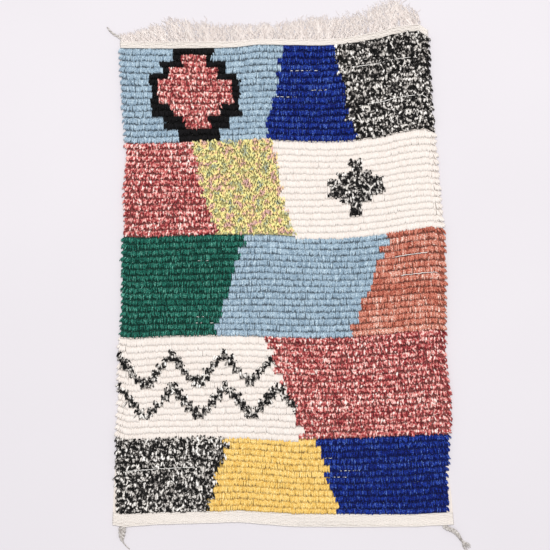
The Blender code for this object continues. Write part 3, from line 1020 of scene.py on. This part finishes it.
    def draw(self, habit: PileHabit, root: tuple[np.ndarray, np.ndarray], bend: Bend,
             rng: np.random.Generator) -> tuple[np.ndarray, np.ndarray]:
        """Runs a slightly kinked line from each root over its crest to its tip.

        Args:
            habit: how the yarn stands.
            root: the roots' X and Y.
            bend: the ends' bend.
            rng: the source of the kinks and of the girths.

        Returns:
            The ends' ring centres and radii.
        """
        radius = habit.radius * rng.uniform(*self.radius_spread, len(root[0]))
        tip = np.maximum(bend.tip, self.least_tip_radii * radius)
        lift = (bend.crest - radius - END_WEIGHT * (self.root_height + tip)) / HANDLES_WEIGHT
        zero = np.zeros(len(radius))
        control = np.stack([np.stack(point, axis=1) for point in (
            (zero, zero, zero + self.root_height),
            (self.rise_handle[0] * bend.aside, self.rise_handle[1] * bend.reach, lift),
            (self.fall_handle[0] * bend.aside, self.fall_handle[1] * bend.reach, lift),
            (bend.aside, -bend.reach, tip),
        )], axis=1)
        control[..., 0] += root[0][:, None]
        control[..., 1] += root[1][:, None]
        centres = bezier(control, np.array(self.ring_shares))
        kinks = rng.normal(0.0, habit.kink, centres.shape) * radius[:, None, None]
        kinks[:, 0] = 0.0
        rings = rng.uniform(*self.ring_spread, centres.shape[:2])
        return centres + kinks, radius[:, None] * np.array(self.flare)[None] * rings

    def spread(self, rng: np.random.Generator, count: int, amount: float) -> np.ndarray:
        """Draws factors about one, none of them far from it.

        Args:
            rng: their source.
            count: how many there are.
            amount: their deviation.

        Returns:
            The factors.
        """
        most = self.most_deviations * amount
        return np.clip(rng.normal(1.0, amount, count), 1.0 - most, 1.0 + most)

    def row_waves(self, x: np.ndarray, row: np.ndarray) -> np.ndarray:
        """Makes slow waves along each row, so that its ridge swells, sags and leans.

        Args:
            x: places across the rug.
            row: their rows.

        Returns:
            Three waves from about -1 to 1, waves by places.
        """
        turns = np.random.default_rng(self.wave_seed).uniform(0.0, 2.0 * math.pi, (3, 3, ROWS))
        pitches = np.array(self.wave_pitches)[None, :, None]
        waves = np.sin(2.0 * math.pi * x[None, None] / pitches + turns[:, :, row])
        return (waves * np.array(self.wave_shares)[None, :, None]).sum(axis=1)

    def patches(self, x: np.ndarray, y: np.ndarray) -> np.ndarray:
        """Makes slow blotches over the cloth, as where a spinner's marl runs darker or paler.

        Args:
            x: places across the rug.
            y: places along it.

        Returns:
            Values from about -2 to 2.
        """
        rng = np.random.default_rng(self.patch_seed)
        total = np.zeros_like(x)
        for pitch in self.patch_pitches:
            heading, turn = rng.uniform(0.0, 2.0 * math.pi, 2)
            run = x * math.cos(heading) + self.patch_stretch * y * math.sin(heading)
            total += np.sin(2.0 * math.pi * run / pitch + turn)
        return total / math.sqrt(0.5 * len(self.patch_pitches))

    def tones(self, habit: PileHabit, x: np.ndarray, y: np.ndarray, row: np.ndarray,
              rng: np.random.Generator) -> np.ndarray:
        """Chooses each end's place on its yarn's range of shades.

        Args:
            habit: how the yarn's shades spread.
            x: the roots' places across the rug.
            y: their places along it.
            row: their rows.
            rng: the source of the shades.

        Returns:
            Values from 0 to 1.
        """
        drift = rng.normal(0.0, habit.row_spread, ROWS)[row]
        drift = drift + habit.row_spread * self.row_waves(x, row // self.drift_rows)[0]
        drift = drift + habit.patch_spread * self.patches(x, y)
        return np.clip(rng.normal(0.5 + drift, habit.shade_spread), 0.0, 1.0)

    def build(self) -> list[bpy.types.Object]:
        """Builds the pile, one piece for each yarn, or more where one would be too dense.

        Returns:
            The pile's pieces.
        """
        pieces = []
        for number, (yarn, places) in enumerate(self.knots().items()):
            habit = HABITS[yarn]
            rng = np.random.default_rng(self.first_yarn_seed + number)
            centres, radii = self.lines(habit, places, rng)
            row = np.repeat(places[:, 1], habit.ends)
            tone = self.tones(habit, centres[:, 0, 0], centres[:, 0, 1], row, rng)
            pattern = TubePattern(habit.sides, len(self.ring_shares), habit.flat_top)
            per_tube = 2 * habit.sides * (len(self.ring_shares) - 1) + 2 * (habit.sides - 2)
            parts = math.ceil(len(centres) * per_tube / self.most_triangles)
            material = FINISHES[yarn].material()
            for part, chosen in enumerate(np.array_split(np.arange(len(centres)), parts)):
                suffix = f"_{part + 1}" if parts > 1 else ""
                piece = yarn_mesh(f"pile_{yarn.value}{suffix}", pattern, centres[chosen],
                                  radii[chosen], tone[chosen], flatness=habit.flatness)
                piece.data.materials.append(material)
                pieces.append(piece)
        return pieces


@dataclass
class WovenEnds:
    """The flat-woven bands at both ends: thick wefts that go over and under the warps."""

    outline: Outline
    chart: Chart
    cords_per_row: int = 5
    warps: int = 112
    steps_per_warp: int = 2
    sides: int = 4
    radius: float = 0.0025
    radius_spread: tuple[float, float] = (0.93, 1.07)
    height: float = 0.0066
    swing: float = 0.0007
    unevenness: float = 0.0001
    side_drop: float = 0.002
    sway: float = 0.0003
    sway_pitch: float = 0.07
    shades: tuple[float, float] = (0.3, 0.9)
    seed: int = 29

    def build(self) -> bpy.types.Object:
        """Builds the wefts of both bands, as one piece.

        Returns:
            The bands.
        """
        rng = np.random.default_rng(self.seed)
        low = range(self.chart.woven_rows_low * self.cords_per_row)
        first_high = (ROWS - self.chart.woven_rows_high) * self.cords_per_row
        high = range(first_high, ROWS * self.cords_per_row)
        share = np.linspace(0.0, 1.0, self.warps * self.steps_per_warp + 1)
        lines = []
        for cord in (*low, *high):
            rise = np.full(len(share), (cord + 0.5) / self.cords_per_row)
            x, y = self.outline.row_point(share, rise)
            turn = math.pi * (share * self.warps + cord)
            sway = self.sway * np.sin(2.0 * math.pi * x / self.sway_pitch + rng.uniform(*ANY_TURN))
            lump = rng.normal(0.0, self.unevenness, len(share))
            z = self.height + self.swing * np.cos(turn) + lump
            z[[0, -1]] -= self.side_drop
            lines.append(np.stack([x, y + sway, z], axis=1))
        centres = np.array(lines)
        radii = self.radius * rng.uniform(*self.radius_spread, centres.shape[:2])
        tone = rng.uniform(*self.shades, len(lines))
        pattern = TubePattern(self.sides, len(share))
        piece = yarn_mesh("woven_ends", pattern, centres, radii, tone, aside=(0.0, 0.0, 1.0))
        piece.data.materials.append(BAND_FINISH.material())
        return piece


@dataclass
class WeftShots:
    """White wefts that show between some rows: short beads in a broken line, and a few threads.

    A thread is one weft that wasn't beaten down, so that it lies over the pile for a hand or two.
    Its columns are the row below it and the shares of the width at which it starts and ends.
    """

    outline: Outline
    chart: Chart
    runs: int = 40
    beads: tuple[int, int] = (2, 7)
    sides: int = 5
    rings: int = 5
    radius: float = 0.0009
    radius_spread: tuple[float, float] = (0.8, 1.2)
    height: float = 0.0098
    arch: float = 0.004
    unevenness: float = 0.0004
    lengths: tuple[float, float] = (0.005, 0.014)
    gaps: tuple[float, float] = (0.002, 0.009)
    starts: tuple[float, float] = (0.02, 0.90)
    last_end: float = 0.98
    top_rows: int = 3
    shown: tuple[Yarn, ...] = (Yarn.ROYAL, Yarn.GREEN, Yarn.CORAL, Yarn.BLACK_WHITE)
    threads: tuple[tuple[int, float, float], ...] = (
        (71, 0.745, 0.940),
        (65, 0.790, 0.985),
        (41, 0.845, 0.945),
        (38, 0.865, 0.975),
        (8, 0.030, 0.235),
    )
    thread_height: float = 0.0152
    thread_step: float = 0.012
    thread_overlap: float = 0.003
    shades: tuple[float, float] = (0.5, 1.0)
    seed: int = 23

    def build(self) -> bpy.types.Object:
        """Builds the beads and the threads.

        Returns:
            The wefts, as one piece.
        """
        rng = np.random.default_rng(self.seed)
        lines = self.broken_lines(rng)
        lines += self.long_threads(rng)
        centres = np.array(lines)
        radii = np.full(centres.shape[:2], self.radius)
        radii = radii * rng.uniform(*self.radius_spread, (len(lines), 1))
        tone = rng.uniform(*self.shades, len(lines))
        piece = yarn_mesh("weft_beads", TubePattern(self.sides, self.rings), centres, radii, tone,
                          aside=(0.0, 0.0, 1.0))
        piece.data.materials.append(WEFT_FINISH.material())
        return piece

    def broken_lines(self, rng: np.random.Generator) -> list[np.ndarray]:
        """Lays short runs of beads where their block's yarn leaves gaps between its rows.

        Args:
            rng: the source of their places.

        Returns:
            A line for each bead.
        """
        lines = []
        for _ in range(self.runs):
            row = int(rng.integers(self.chart.woven_rows_low + 1, ROWS - self.top_rows))
            start = rng.uniform(*self.starts)
            for _ in range(int(rng.integers(*self.beads))):
                end = start + rng.uniform(*self.lengths) / FIELD_WIDTH
                if end < self.last_end and self.is_shown(start, end, row):
                    lines.append(self.bead(start, end, row, rng))
                start = end + rng.uniform(*self.gaps) / FIELD_WIDTH
        return lines

    def long_threads(self, rng: np.random.Generator) -> list[np.ndarray]:
        """Lays the threads, each from pieces that overlap a little.

        Args:
            rng: the source of their unevenness.

        Returns:
            A line for each piece of a thread.
        """
        lines = []
        for row, start, end in self.threads:
            count = round((end - start) * FIELD_WIDTH / self.thread_step)
            places = np.linspace(start, end, count + 1)
            for left, right in zip(places, places[1:]):
                piece = self.bead(left, right + self.thread_overlap / FIELD_WIDTH, row, rng)
                piece[:, 2] += self.thread_height - self.height
                lines.append(piece)
        return lines

    def is_shown(self, start: float, end: float, row: int) -> bool:
        """Whether the yarns above and below the gap are ones that leave it open."""
        corners = [(across, r) for across in (start, end) for r in (row, row + 1)]
        return all(self.chart.yarn(across, r, 0.0) in self.shown for across, r in corners)

    def bead(self, start: float, end: float, row: int, rng: np.random.Generator) -> np.ndarray:
        """Draws one bead, which arches out of the gap above a row.

        Args:
            start: the share of the width at which it starts.
            end: the share at which it ends.
            row: the row.
            rng: the source of its unevenness.

        Returns:
            Its line.
        """
        share = np.linspace(start, end, self.rings)
        x, y = self.outline.row_point(share, np.full(self.rings, row + 1.0))
        y = y + rng.normal(0.0, self.unevenness, self.rings)
        z = self.height - self.arch * np.linspace(-1.0, 1.0, self.rings) ** 4
        return np.stack([x, y, z], axis=1)


@dataclass
class WarpFringe:
    """The loose warp ends: thin wavy yarns that lie on the floor past the top edge.

    The form's columns are place across the rug, length of the ends and sideways lean. The clumps'
    columns are pitch and turn, and the waves' are size and pitch.
    """

    outline: Outline
    ends: int = 1150
    radius: float = 0.0008
    radius_spread: tuple[float, float] = (0.75, 1.15)
    tip_share: float = 0.45
    sides: int = 4
    rings: int = 13
    insets: tuple[float, float] = (0.010, 0.026)
    root_depth: float = 0.004
    length_spread: float = 0.17
    length_deviation: float = 0.6
    lean_deviation: float = 0.20
    clumps: tuple[tuple[float, float], ...] = ((0.083, 0.4), (0.047, 2.1), (0.029, 4.4))
    clump_length: float = 0.06
    clump_lean: float = 0.10
    waves: tuple[tuple[float, float], ...] = ((0.0050, 0.050), (0.0030, 0.022), (0.0012, 0.011))
    wave_spread: tuple[float, float] = (0.5, 1.3)
    pitch_spread: tuple[float, float] = (0.8, 1.25)
    wave_onset: float = 3.0
    floor_gap: float = 0.0002
    layers: float = 0.0030
    layer_fall: float = 0.5
    root_lift: float = 0.0050
    root_lift_run: float = 0.012
    ripple: float = 0.0006
    ripple_run: float = 0.009
    seed: int = 31
    form: tuple[tuple[float, float, float], ...] = (
        (-0.500, 0.026, -0.45),
        (-0.455, 0.029, -0.40),
        (-0.415, 0.042, -0.42),
        (-0.380, 0.049, -0.42),
        (-0.300, 0.072, -0.38),
        (-0.240, 0.058, -0.30),
        (-0.100, 0.048, -0.12),
        (0.000, 0.050, -0.06),
        (0.090, 0.069, 0.00),
        (0.182, 0.067, -0.03),
        (0.220, 0.058, -0.05),
        (0.257, 0.069, -0.08),
        (0.331, 0.084, -0.12),
        (0.368, 0.069, -0.22),
        (0.420, 0.042, -0.45),
    )

    def build(self) -> bpy.types.Object:
        """Builds the warp ends, each with its own waves, lean and length.

        Returns:
            The ends, as one piece.
        """
        rng = np.random.default_rng(self.seed)
        edge_x, edge_y = self.outline.end_line(top=True)
        left, right = edge_x[0] + self.insets[0], edge_x[-1] - self.insets[1]
        root_x = np.sort(rng.uniform(left, right, self.ends))
        root_y = np.interp(root_x, edge_x, edge_y) - self.root_depth
        length, lean = self.lengths_and_leans(root_x - FIELD_CENTRE[0], rng)
        along = np.linspace(0.0, 1.0, self.rings)[None]
        run = length[:, None] * along
        x = root_x[:, None] + lean[:, None] * run + self.side_waves(run, along, rng)
        y = root_y[:, None] + run
        z = self.heights(run, along, rng)
        radii = self.radius * rng.uniform(*self.radius_spread, (self.ends, 1)) * np.ones_like(run)
        radii[:, -1] *= self.tip_share
        tone = rng.uniform(0.0, 1.0, self.ends)
        pattern = TubePattern(self.sides, self.rings)
        piece = yarn_mesh("warp_ends", pattern, np.stack([x, y, z], axis=2), radii, tone)
        piece.data.materials.append(WARP_FINISH.material())
        return piece

    def lengths_and_leans(self, local: np.ndarray,
                          rng: np.random.Generator) -> tuple[np.ndarray, np.ndarray]:
        """Reads the ends' lengths and leans from the form and gathers them into clumps.

        Args:
            local: the roots' places across the rug from its middle.
            rng: the source of their unevenness.

        Returns:
            Lengths, and sideways leans for each unit of length.
        """
        form = np.array(self.form)
        uneven = 1.0 + self.length_spread * rng.normal(0.0, self.length_deviation, self.ends)
        length = np.interp(local, form[:, 0], form[:, 1]) * uneven
        clump = sum(np.sin(2.0 * math.pi * local / pitch + turn) for pitch, turn in self.clumps)
        length = length * (1.0 + self.clump_length * clump)
        lean = np.interp(local, form[:, 0], form[:, 2]) + self.clump_lean * clump
        return length, lean + rng.normal(0.0, self.lean_deviation, self.ends)

    def side_waves(self, run: np.ndarray, along: np.ndarray, rng: np.random.Generator) -> np.ndarray:
        """Waves each end from side to side, more so away from its root.

        Args:
            run: distances along the ends.
            along: the same as shares of the ends' lengths.
            rng: the source of the waves.

        Returns:
            How far each ring strays aside.
        """
        wave = np.zeros_like(run)
        for size, pitch in self.waves:
            turn = rng.uniform(0.0, 2.0 * math.pi, (self.ends, 1))
            scale = rng.uniform(*self.wave_spread, (self.ends, 1)) * size
            pitches = pitch * rng.uniform(*self.pitch_spread, (self.ends, 1))
            swing = np.sin(2.0 * math.pi * run / pitches + turn) - np.sin(turn)
            wave += scale * swing * np.minimum(1.0, self.wave_onset * along)
        return wave

    def heights(self, run: np.ndarray, along: np.ndarray, rng: np.random.Generator) -> np.ndarray:
        """Layers the ends over one another and ripples them, high at the cloth's edge.

        Args:
            run: distances along the ends.
            along: the same as shares of the ends' lengths.
            rng: the source of their layers.

        Returns:
            The rings' heights.
        """
        layer = rng.uniform(0.0, self.layers, (self.ends, 1))
        start = self.root_lift * np.exp(-run / self.root_lift_run)
        z = self.radius + self.floor_gap + layer * (1.0 - self.layer_fall * along) + start
        turn = rng.uniform(*ANY_TURN, (self.ends, 1))
        return z + self.ripple * (1.0 + np.sin(run / self.ripple_run + turn))


@dataclass(frozen=True)
class Lay:
    """How a rope's strands run: shares of its width and height for their swings and thickness."""

    across: float
    lift: float
    thick: float
    is_plait: bool

    def swing(self, turn: np.ndarray) -> tuple[np.ndarray, np.ndarray]:
        """A strand's swings across and up: a figure of eight in a plait, a circle in a twist."""
        return (np.sin(turn), np.sin(2.0 * turn)) if self.is_plait else (np.cos(turn), np.sin(turn))


PLAIT = Lay(across=0.27, lift=0.20, thick=0.26, is_plait=True)
TWIST = Lay(across=0.25, lift=0.25, thick=0.27, is_plait=False)


@dataclass
class Spine:
    """A rope's middle line on the floor, with its width, height and directions at each ring."""

    shares: np.ndarray
    line: np.ndarray
    width: np.ndarray
    height: np.ndarray
    run: np.ndarray = field(init=False)
    side: np.ndarray = field(init=False)

    def __post_init__(self) -> None:
        """Works out the line's direction and the one square to it."""
        self.run = np.gradient(self.line, axis=0)
        self.run /= np.linalg.norm(self.run, axis=1, keepdims=True)
        self.side = np.stack([self.run[:, 1], -self.run[:, 0]], axis=1)


@dataclass
class Binding:
    """A thread wound round a rope's neck, at a share of its length."""

    share: float
    sides: int = 5
    rings: int = 72
    turns: float = 5.0
    length: float = 0.006
    radius: float = 0.0007
    clearance: float = 0.0006
    floor_gap: float = 0.0004
    tone: float = 0.2

    def build(self, name: str, spine: Spine) -> bpy.types.Object:
        """Winds the thread.

        Args:
            name: the thread's name.
            spine: the rope's middle line.

        Returns:
            The thread.
        """
        at = round(self.share * (len(spine.shares) - 1))
        shares = np.linspace(0.0, 1.0, self.rings)
        turn = 2.0 * math.pi * self.turns * shares
        radius = 0.5 * spine.height[at] + self.clearance
        ahead = (shares - 0.5)[:, None] * self.length * spine.run[at]
        flat = spine.line[at] + ahead + spine.side[at] * (radius * np.cos(turn))[:, None]
        rise = radius + self.floor_gap + radius * np.sin(turn)
        thread = np.concatenate([flat, rise[:, None]], axis=1)[None]
        radii = np.full((1, self.rings), self.radius)
        return yarn_mesh(name, TubePattern(self.sides, self.rings), thread, radii,
                         np.array([self.tone]), aside=(*spine.run[at], 0.0))


@dataclass
class Tuft:
    """The open strands at a rope's end, fanned out over the floor."""

    lengths: tuple[float, ...]
    fan: float = 0.95
    overlap: float = 0.004
    spread: float = 0.8
    wave: float = 0.0012
    wave_turns: float = 7.0
    floor_gap: float = 0.0009
    sink: float = 0.5
    sink_spread: tuple[float, float] = (0.5, 1.2)
    radii: tuple[float, float] = (0.0012, 0.0008)

    def lines(self, spine: Spine, rng: np.random.Generator) -> list[np.ndarray]:
        """Fans the strands out from the rope's end.

        Args:
            spine: the rope's middle line.
            rng: the source of the strands' unevenness.

        Returns:
            A line for each strand.
        """
        shares, run, width, height = spine.shares, spine.run[-1], spine.width[-1], spine.height[-1]
        lines = []
        for number, length in enumerate(self.lengths):
            share = (number + 0.5) / len(self.lengths) - 0.5
            heading = math.atan2(run[1], run[0]) - self.fan * share
            wave = self.wave * np.sin(shares * self.wave_turns + rng.uniform(*ANY_TURN)) * shares
            start = spine.line[-1] - run * self.overlap + spine.side[-1] * share * width * self.spread
            ahead = shares[:, None] * length * np.array([math.cos(heading), math.sin(heading)])
            flat = start + ahead + wave[:, None] * np.array([math.sin(heading), -math.cos(heading)])
            fall = self.sink * height * (1.0 - shares) ** 2 * rng.uniform(*self.sink_spread)
            lines.append(np.concatenate([flat, (self.floor_gap + fall)[:, None]], axis=1))
        return lines


@dataclass
class CornerRope:
    """A tapering plait or twist of yarn that lies on the floor at a corner of the cloth.

    Its form is a table like the solid's: place across the rug, distance out from the cloth's end,
    width and height.
    """

    name: str
    node: str
    outline: Outline
    form: tuple[tuple[float, float, float, float], ...]
    lay: Lay
    top: bool
    strands: int
    yarns: int
    turns_per_metre: float
    seed: int
    rings: int = 60
    sides: int = 6
    yarn_turns: float = 1.7
    yarn_ring: float = 0.42
    yarn_share: float = 0.62
    widest: float = 1.3
    least_radius: float = 0.0007
    smoothing: int = 3
    smooth_onset: float = 8.0
    length_steps: int = 80
    shades: tuple[float, float] = (0.15, 0.95)
    tuft: Tuft | None = None
    binding: Binding | None = None

    def spine(self, count: int) -> Spine:
        """Finds the middle line on the floor.

        Args:
            count: the number of places along it.

        Returns:
            The line with its widths and heights.
        """
        shares = np.linspace(0.0, 1.0, count)
        table = np.array(self.form)
        root, half = table[0, 0], 0.5 * table[0, 2]
        edge_x, edge_y = self.outline.end_line(self.top)
        seat = np.interp(np.array([root - half, root, root + half]) + FIELD_CENTRE[0], edge_x, edge_y)
        y = seat.max() + table[:, 1] if self.top else seat.min() - table[:, 1]
        knots = np.stack([table[:, 0] + FIELD_CENTRE[0], y, table[:, 2], table[:, 3]], axis=1)
        steps = np.linalg.norm(np.diff(knots[:, :2], axis=0), axis=1)
        gone = np.concatenate([[0.0], np.cumsum(steps)])
        values = [np.interp(shares * gone[-1], gone, knots[:, k]) for k in range(4)]
        window = np.ones(2 * self.smoothing + 1) / (2 * self.smoothing + 1)
        padded = [np.pad(v, self.smoothing, mode="edge") for v in values[:2]]
        smooth = [np.convolve(v, window, mode="valid") for v in padded]
        blend = np.clip(np.minimum(shares, 1.0 - shares) * self.smooth_onset, 0.0, 1.0)
        line = [v * (1.0 - blend) + s * blend for v, s in zip(values[:2], smooth)]
        return Spine(shares, np.stack(line, axis=1), values[2], values[3])

    def length(self) -> float:
        """Length of the rope along its middle."""
        steps = np.diff(self.spine(self.length_steps).line, axis=0)
        return float(np.linalg.norm(steps, axis=1).sum())

    def strand_lines(self, spine: Spine) -> tuple[list[np.ndarray], list[np.ndarray]]:
        """Lays the strands, each of one yarn or of a few yarns that turn about one another.

        Args:
            spine: the rope's middle line.

        Returns:
            A line and its radii for each yarn.
        """
        width, height, thick = spine.width, spine.height, self.lay.thick
        is_plied = self.yarns > 1
        phase = 2.0 * math.pi * self.turns_per_metre * self.length() * spine.shares
        ring = self.yarn_ring * thick if is_plied else 0.0
        share = self.yarn_share if is_plied else 1.0
        radius = share * thick * np.minimum(width, self.widest * height)
        lines, radii = [], []
        for strand in range(self.strands):
            turn = phase + 2.0 * math.pi * strand / self.strands
            swing = self.lay.swing(turn)
            across, lift = self.lay.across * width * swing[0], self.lay.lift * height * swing[1]
            for yarn in range(self.yarns):
                spin = self.yarn_turns * turn + 2.0 * math.pi * yarn / self.yarns
                reach = across + ring * width * np.cos(spin)
                rise = 0.5 * height + lift + ring * height * np.sin(spin)
                flat = spine.line + spine.side * reach[:, None]
                lines.append(np.concatenate([flat, rise[:, None]], axis=1))
                radii.append(np.clip(radius, self.least_radius, None))
        return lines, radii

    def build(self) -> bpy.types.Object:
        """Builds the strands, the tuft and the binding as one piece.

        Returns:
            The rope.
        """
        rng = np.random.default_rng(self.seed)
        spine = self.spine(self.rings)
        lines, radii = self.strand_lines(spine)
        if self.tuft is not None:
            strands = self.tuft.lines(spine, rng)
            lines += strands
            radii += [np.linspace(*self.tuft.radii, self.rings)] * len(strands)
        tone = rng.uniform(*self.shades, len(lines))
        piece = yarn_mesh(self.name, TubePattern(self.sides, self.rings), np.array(lines),
                          np.array(radii), tone, aside=(0.0, 0.0, 1.0))
        if self.binding is not None:
            wound = self.binding.build(self.name + "_thread", spine)
            with bpy.context.temp_override(active_object=piece, object=piece,
                                           selected_editable_objects=[piece, wound]):
                bpy.ops.object.join()
        piece.data.materials.append(CORNER_FINISH.material())
        return piece


# Forms of the corner ropes, as in the solids. Columns: place across the rug, distance out from
# the cloth's end, width, height.
BRAID_FORM = (
    (0.4990, 0.0000, 0.0130, 0.0095),
    (0.4990, 0.0039, 0.0135, 0.0100),
    (0.5022, 0.0077, 0.0140, 0.0105),
    (0.5080, 0.0102, 0.0145, 0.0105),
    (0.5155, 0.0125, 0.0148, 0.0105),
    (0.5240, 0.0159, 0.0150, 0.0105),
    (0.5318, 0.0207, 0.0148, 0.0100),
    (0.5385, 0.0272, 0.0135, 0.0095),
    (0.5440, 0.0347, 0.0115, 0.0085),
    (0.5485, 0.0419, 0.0085, 0.0070),
    (0.5520, 0.0474, 0.0060, 0.0055),
    (0.5562, 0.0530, 0.0095, 0.0062),
    (0.5615, 0.0592, 0.0160, 0.0065),
)
TASSEL_FORM = (
    (-0.4965, 0.0000, 0.0260, 0.0100),
    (-0.4965, 0.0068, 0.0280, 0.0115),
    (-0.4970, 0.0148, 0.0270, 0.0115),
    (-0.4975, 0.0228, 0.0240, 0.0110),
    (-0.4980, 0.0298, 0.0205, 0.0100),
    (-0.4980, 0.0358, 0.0165, 0.0085),
    (-0.4970, 0.0413, 0.0115, 0.0065),
    (-0.4950, 0.0468, 0.0050, 0.0045),
    (-0.4900, 0.0538, 0.0034, 0.0034),
    (-0.4830, 0.0618, 0.0032, 0.0032),
    (-0.4740, 0.0698, 0.0028, 0.0028),
)
TAIL_FORM = (
    (-0.4990, 0.0000, 0.0075, 0.0065),
    (-0.4990, 0.0057, 0.0075, 0.0067),
    (-0.5018, 0.0117, 0.0075, 0.0068),
    (-0.5080, 0.0160, 0.0072, 0.0066),
    (-0.5160, 0.0197, 0.0070, 0.0064),
    (-0.5245, 0.0247, 0.0066, 0.0060),
    (-0.5325, 0.0312, 0.0062, 0.0056),
    (-0.5390, 0.0387, 0.0056, 0.0050),
    (-0.5435, 0.0457, 0.0040, 0.0040),
)


@dataclass
class Studio:
    """The floor, the soft light and the camera."""

    floor_side: float = 60.0
    floor_drop: float = 0.0004
    camera_height: float = 4.2
    camera_clip: tuple[float, float] = (0.1, 100.0)
    key_place: tuple[float, float, float] = (0.3, 1.9, 8.0)
    key_size: tuple[float, float] = (2.3, 1.7)
    key_power: float = 530.0
    sky_strength: float = 0.60

    def build(self) -> None:
        """Lays the floor, lights it and sets the camera straight above the cloth."""
        self.lay_floor()
        self.light()
        self.set_camera()
        view = bpy.context.scene.view_settings
        view.view_transform = "Standard"
        view.look = "None"

    def lay_floor(self) -> None:
        bpy.ops.mesh.primitive_plane_add(size=self.floor_side,
                                         location=(0.0, 0.0, -self.floor_drop))
        floor = bpy.context.object
        floor.name = "studio_floor"
        floor.data.materials.append(PaintedFloor().material())

    def light(self) -> None:
        """Lights the rug with a pale sky and one large soft lamp from beyond the fringe."""
        world = bpy.data.worlds.new("studio_sky")
        bpy.context.scene.world = world
        world.use_nodes = True
        background = world.node_tree.nodes["Background"]
        background.inputs["Color"].default_value = linear("#FDFCFE")
        background.inputs["Strength"].default_value = self.sky_strength
        lamp = bpy.data.lights.new("soft_key", "AREA")
        lamp.shape = "RECTANGLE"
        lamp.size, lamp.size_y = self.key_size
        lamp.energy = self.key_power
        lamp.color = linear("#FFFDFA")[:3]
        key = bpy.data.objects.new("soft_key", lamp)
        key.location = self.key_place
        key.rotation_euler = (-Vector(self.key_place)).to_track_quat("-Z", "Y").to_euler()
        bpy.context.scene.collection.objects.link(key)

    def set_camera(self) -> None:
        """Looks straight down, so that the photograph's frame covers the same stretch of floor."""
        camera = bpy.data.cameras.new("camera")
        middle = 0.5 * PHOTO_SIDE_PX
        x = FIELD_CENTRE[0] + (middle - CLOTH_MIDDLE_PX[0]) * METRES_PER_PX
        y = FIELD_CENTRE[1] + (CLOTH_MIDDLE_PX[1] - middle) * METRES_PER_PX
        camera.lens = camera.sensor_width * self.camera_height / (PHOTO_SIDE_PX * METRES_PER_PX)
        camera.clip_start, camera.clip_end = self.camera_clip
        placed = bpy.data.objects.new("camera", camera)
        placed.location = (x, y, self.camera_height)
        bpy.context.scene.collection.objects.link(placed)
        bpy.context.scene.camera = placed


@dataclass
class Rug:
    """The whole rug, piece by piece."""

    outline: Outline = field(default_factory=Outline)
    chart: Chart = field(default_factory=Chart)

    def corner_ropes(self) -> list[CornerRope]:
        """Lists the three ropes at the cloth's corners.

        Returns:
            The tail, the tassel and the braid.
        """
        tuft = Tuft((0.018, 0.022, 0.026, 0.024, 0.023, 0.027, 0.030, 0.022, 0.016))
        return [
            CornerRope("tail_twist", "corner_tail_top_left", self.outline, TAIL_FORM, TWIST,
                       top=True, strands=2, yarns=1, turns_per_metre=75.0, seed=10),
            CornerRope("tassel_plait", "corner_tassel_left", self.outline, TASSEL_FORM, PLAIT,
                       top=False, strands=3, yarns=3, turns_per_metre=30.0, seed=12),
            CornerRope("braid_plait", "corner_braid_right", self.outline, BRAID_FORM, PLAIT,
                       top=False, strands=3, yarns=3, turns_per_metre=34.0, seed=11, tuft=tuft,
                       binding=Binding(share=0.80)),
        ]

    def build(self) -> None:
        """Builds, dresses and places every piece."""
        ground = GroundCloth(self.outline, self.chart).build()
        pile = KnottedPile(self.outline, self.chart).build()
        bands = WovenEnds(self.outline, self.chart).build()
        wefts = WeftShots(self.outline, self.chart).build()
        fringe = WarpFringe(self.outline).build()
        for rope in self.corner_ropes():
            piece = rope.build()
            self.place(piece, Slot.CORNER, rope.node)
        self.place(ground, Slot.PILE, "rug_field")
        self.place(bands, Slot.PILE, "rug_field")
        self.place(wefts, Slot.WARP)
        self.place(fringe, Slot.WARP, "warp_fringe")
        for piece in pile:
            self.place(piece, Slot.PILE, "rug_field")

    def place(self, piece: bpy.types.Object, slot: Slot, *nodes: str) -> None:
        """Fixes a piece to the rug's body and reports it.

        Args:
            piece: the piece.
            slot: its material slot, which is not used.
            nodes: the solids that it stands for, if any.
        """
        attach(piece, "root")
        if nodes:
            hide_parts(*nodes)
        triangles = sum(len(p.vertices) - 2 for p in piece.data.polygons)
        LOG.info("%s: %d triangles", piece.name, triangles)


def main() -> None:
    """Builds the studio and the rug."""
    logging.basicConfig(level=logging.INFO, format="%(message)s")
    Studio().build()
    Rug().build()


if __name__ == "__main__":
    main()
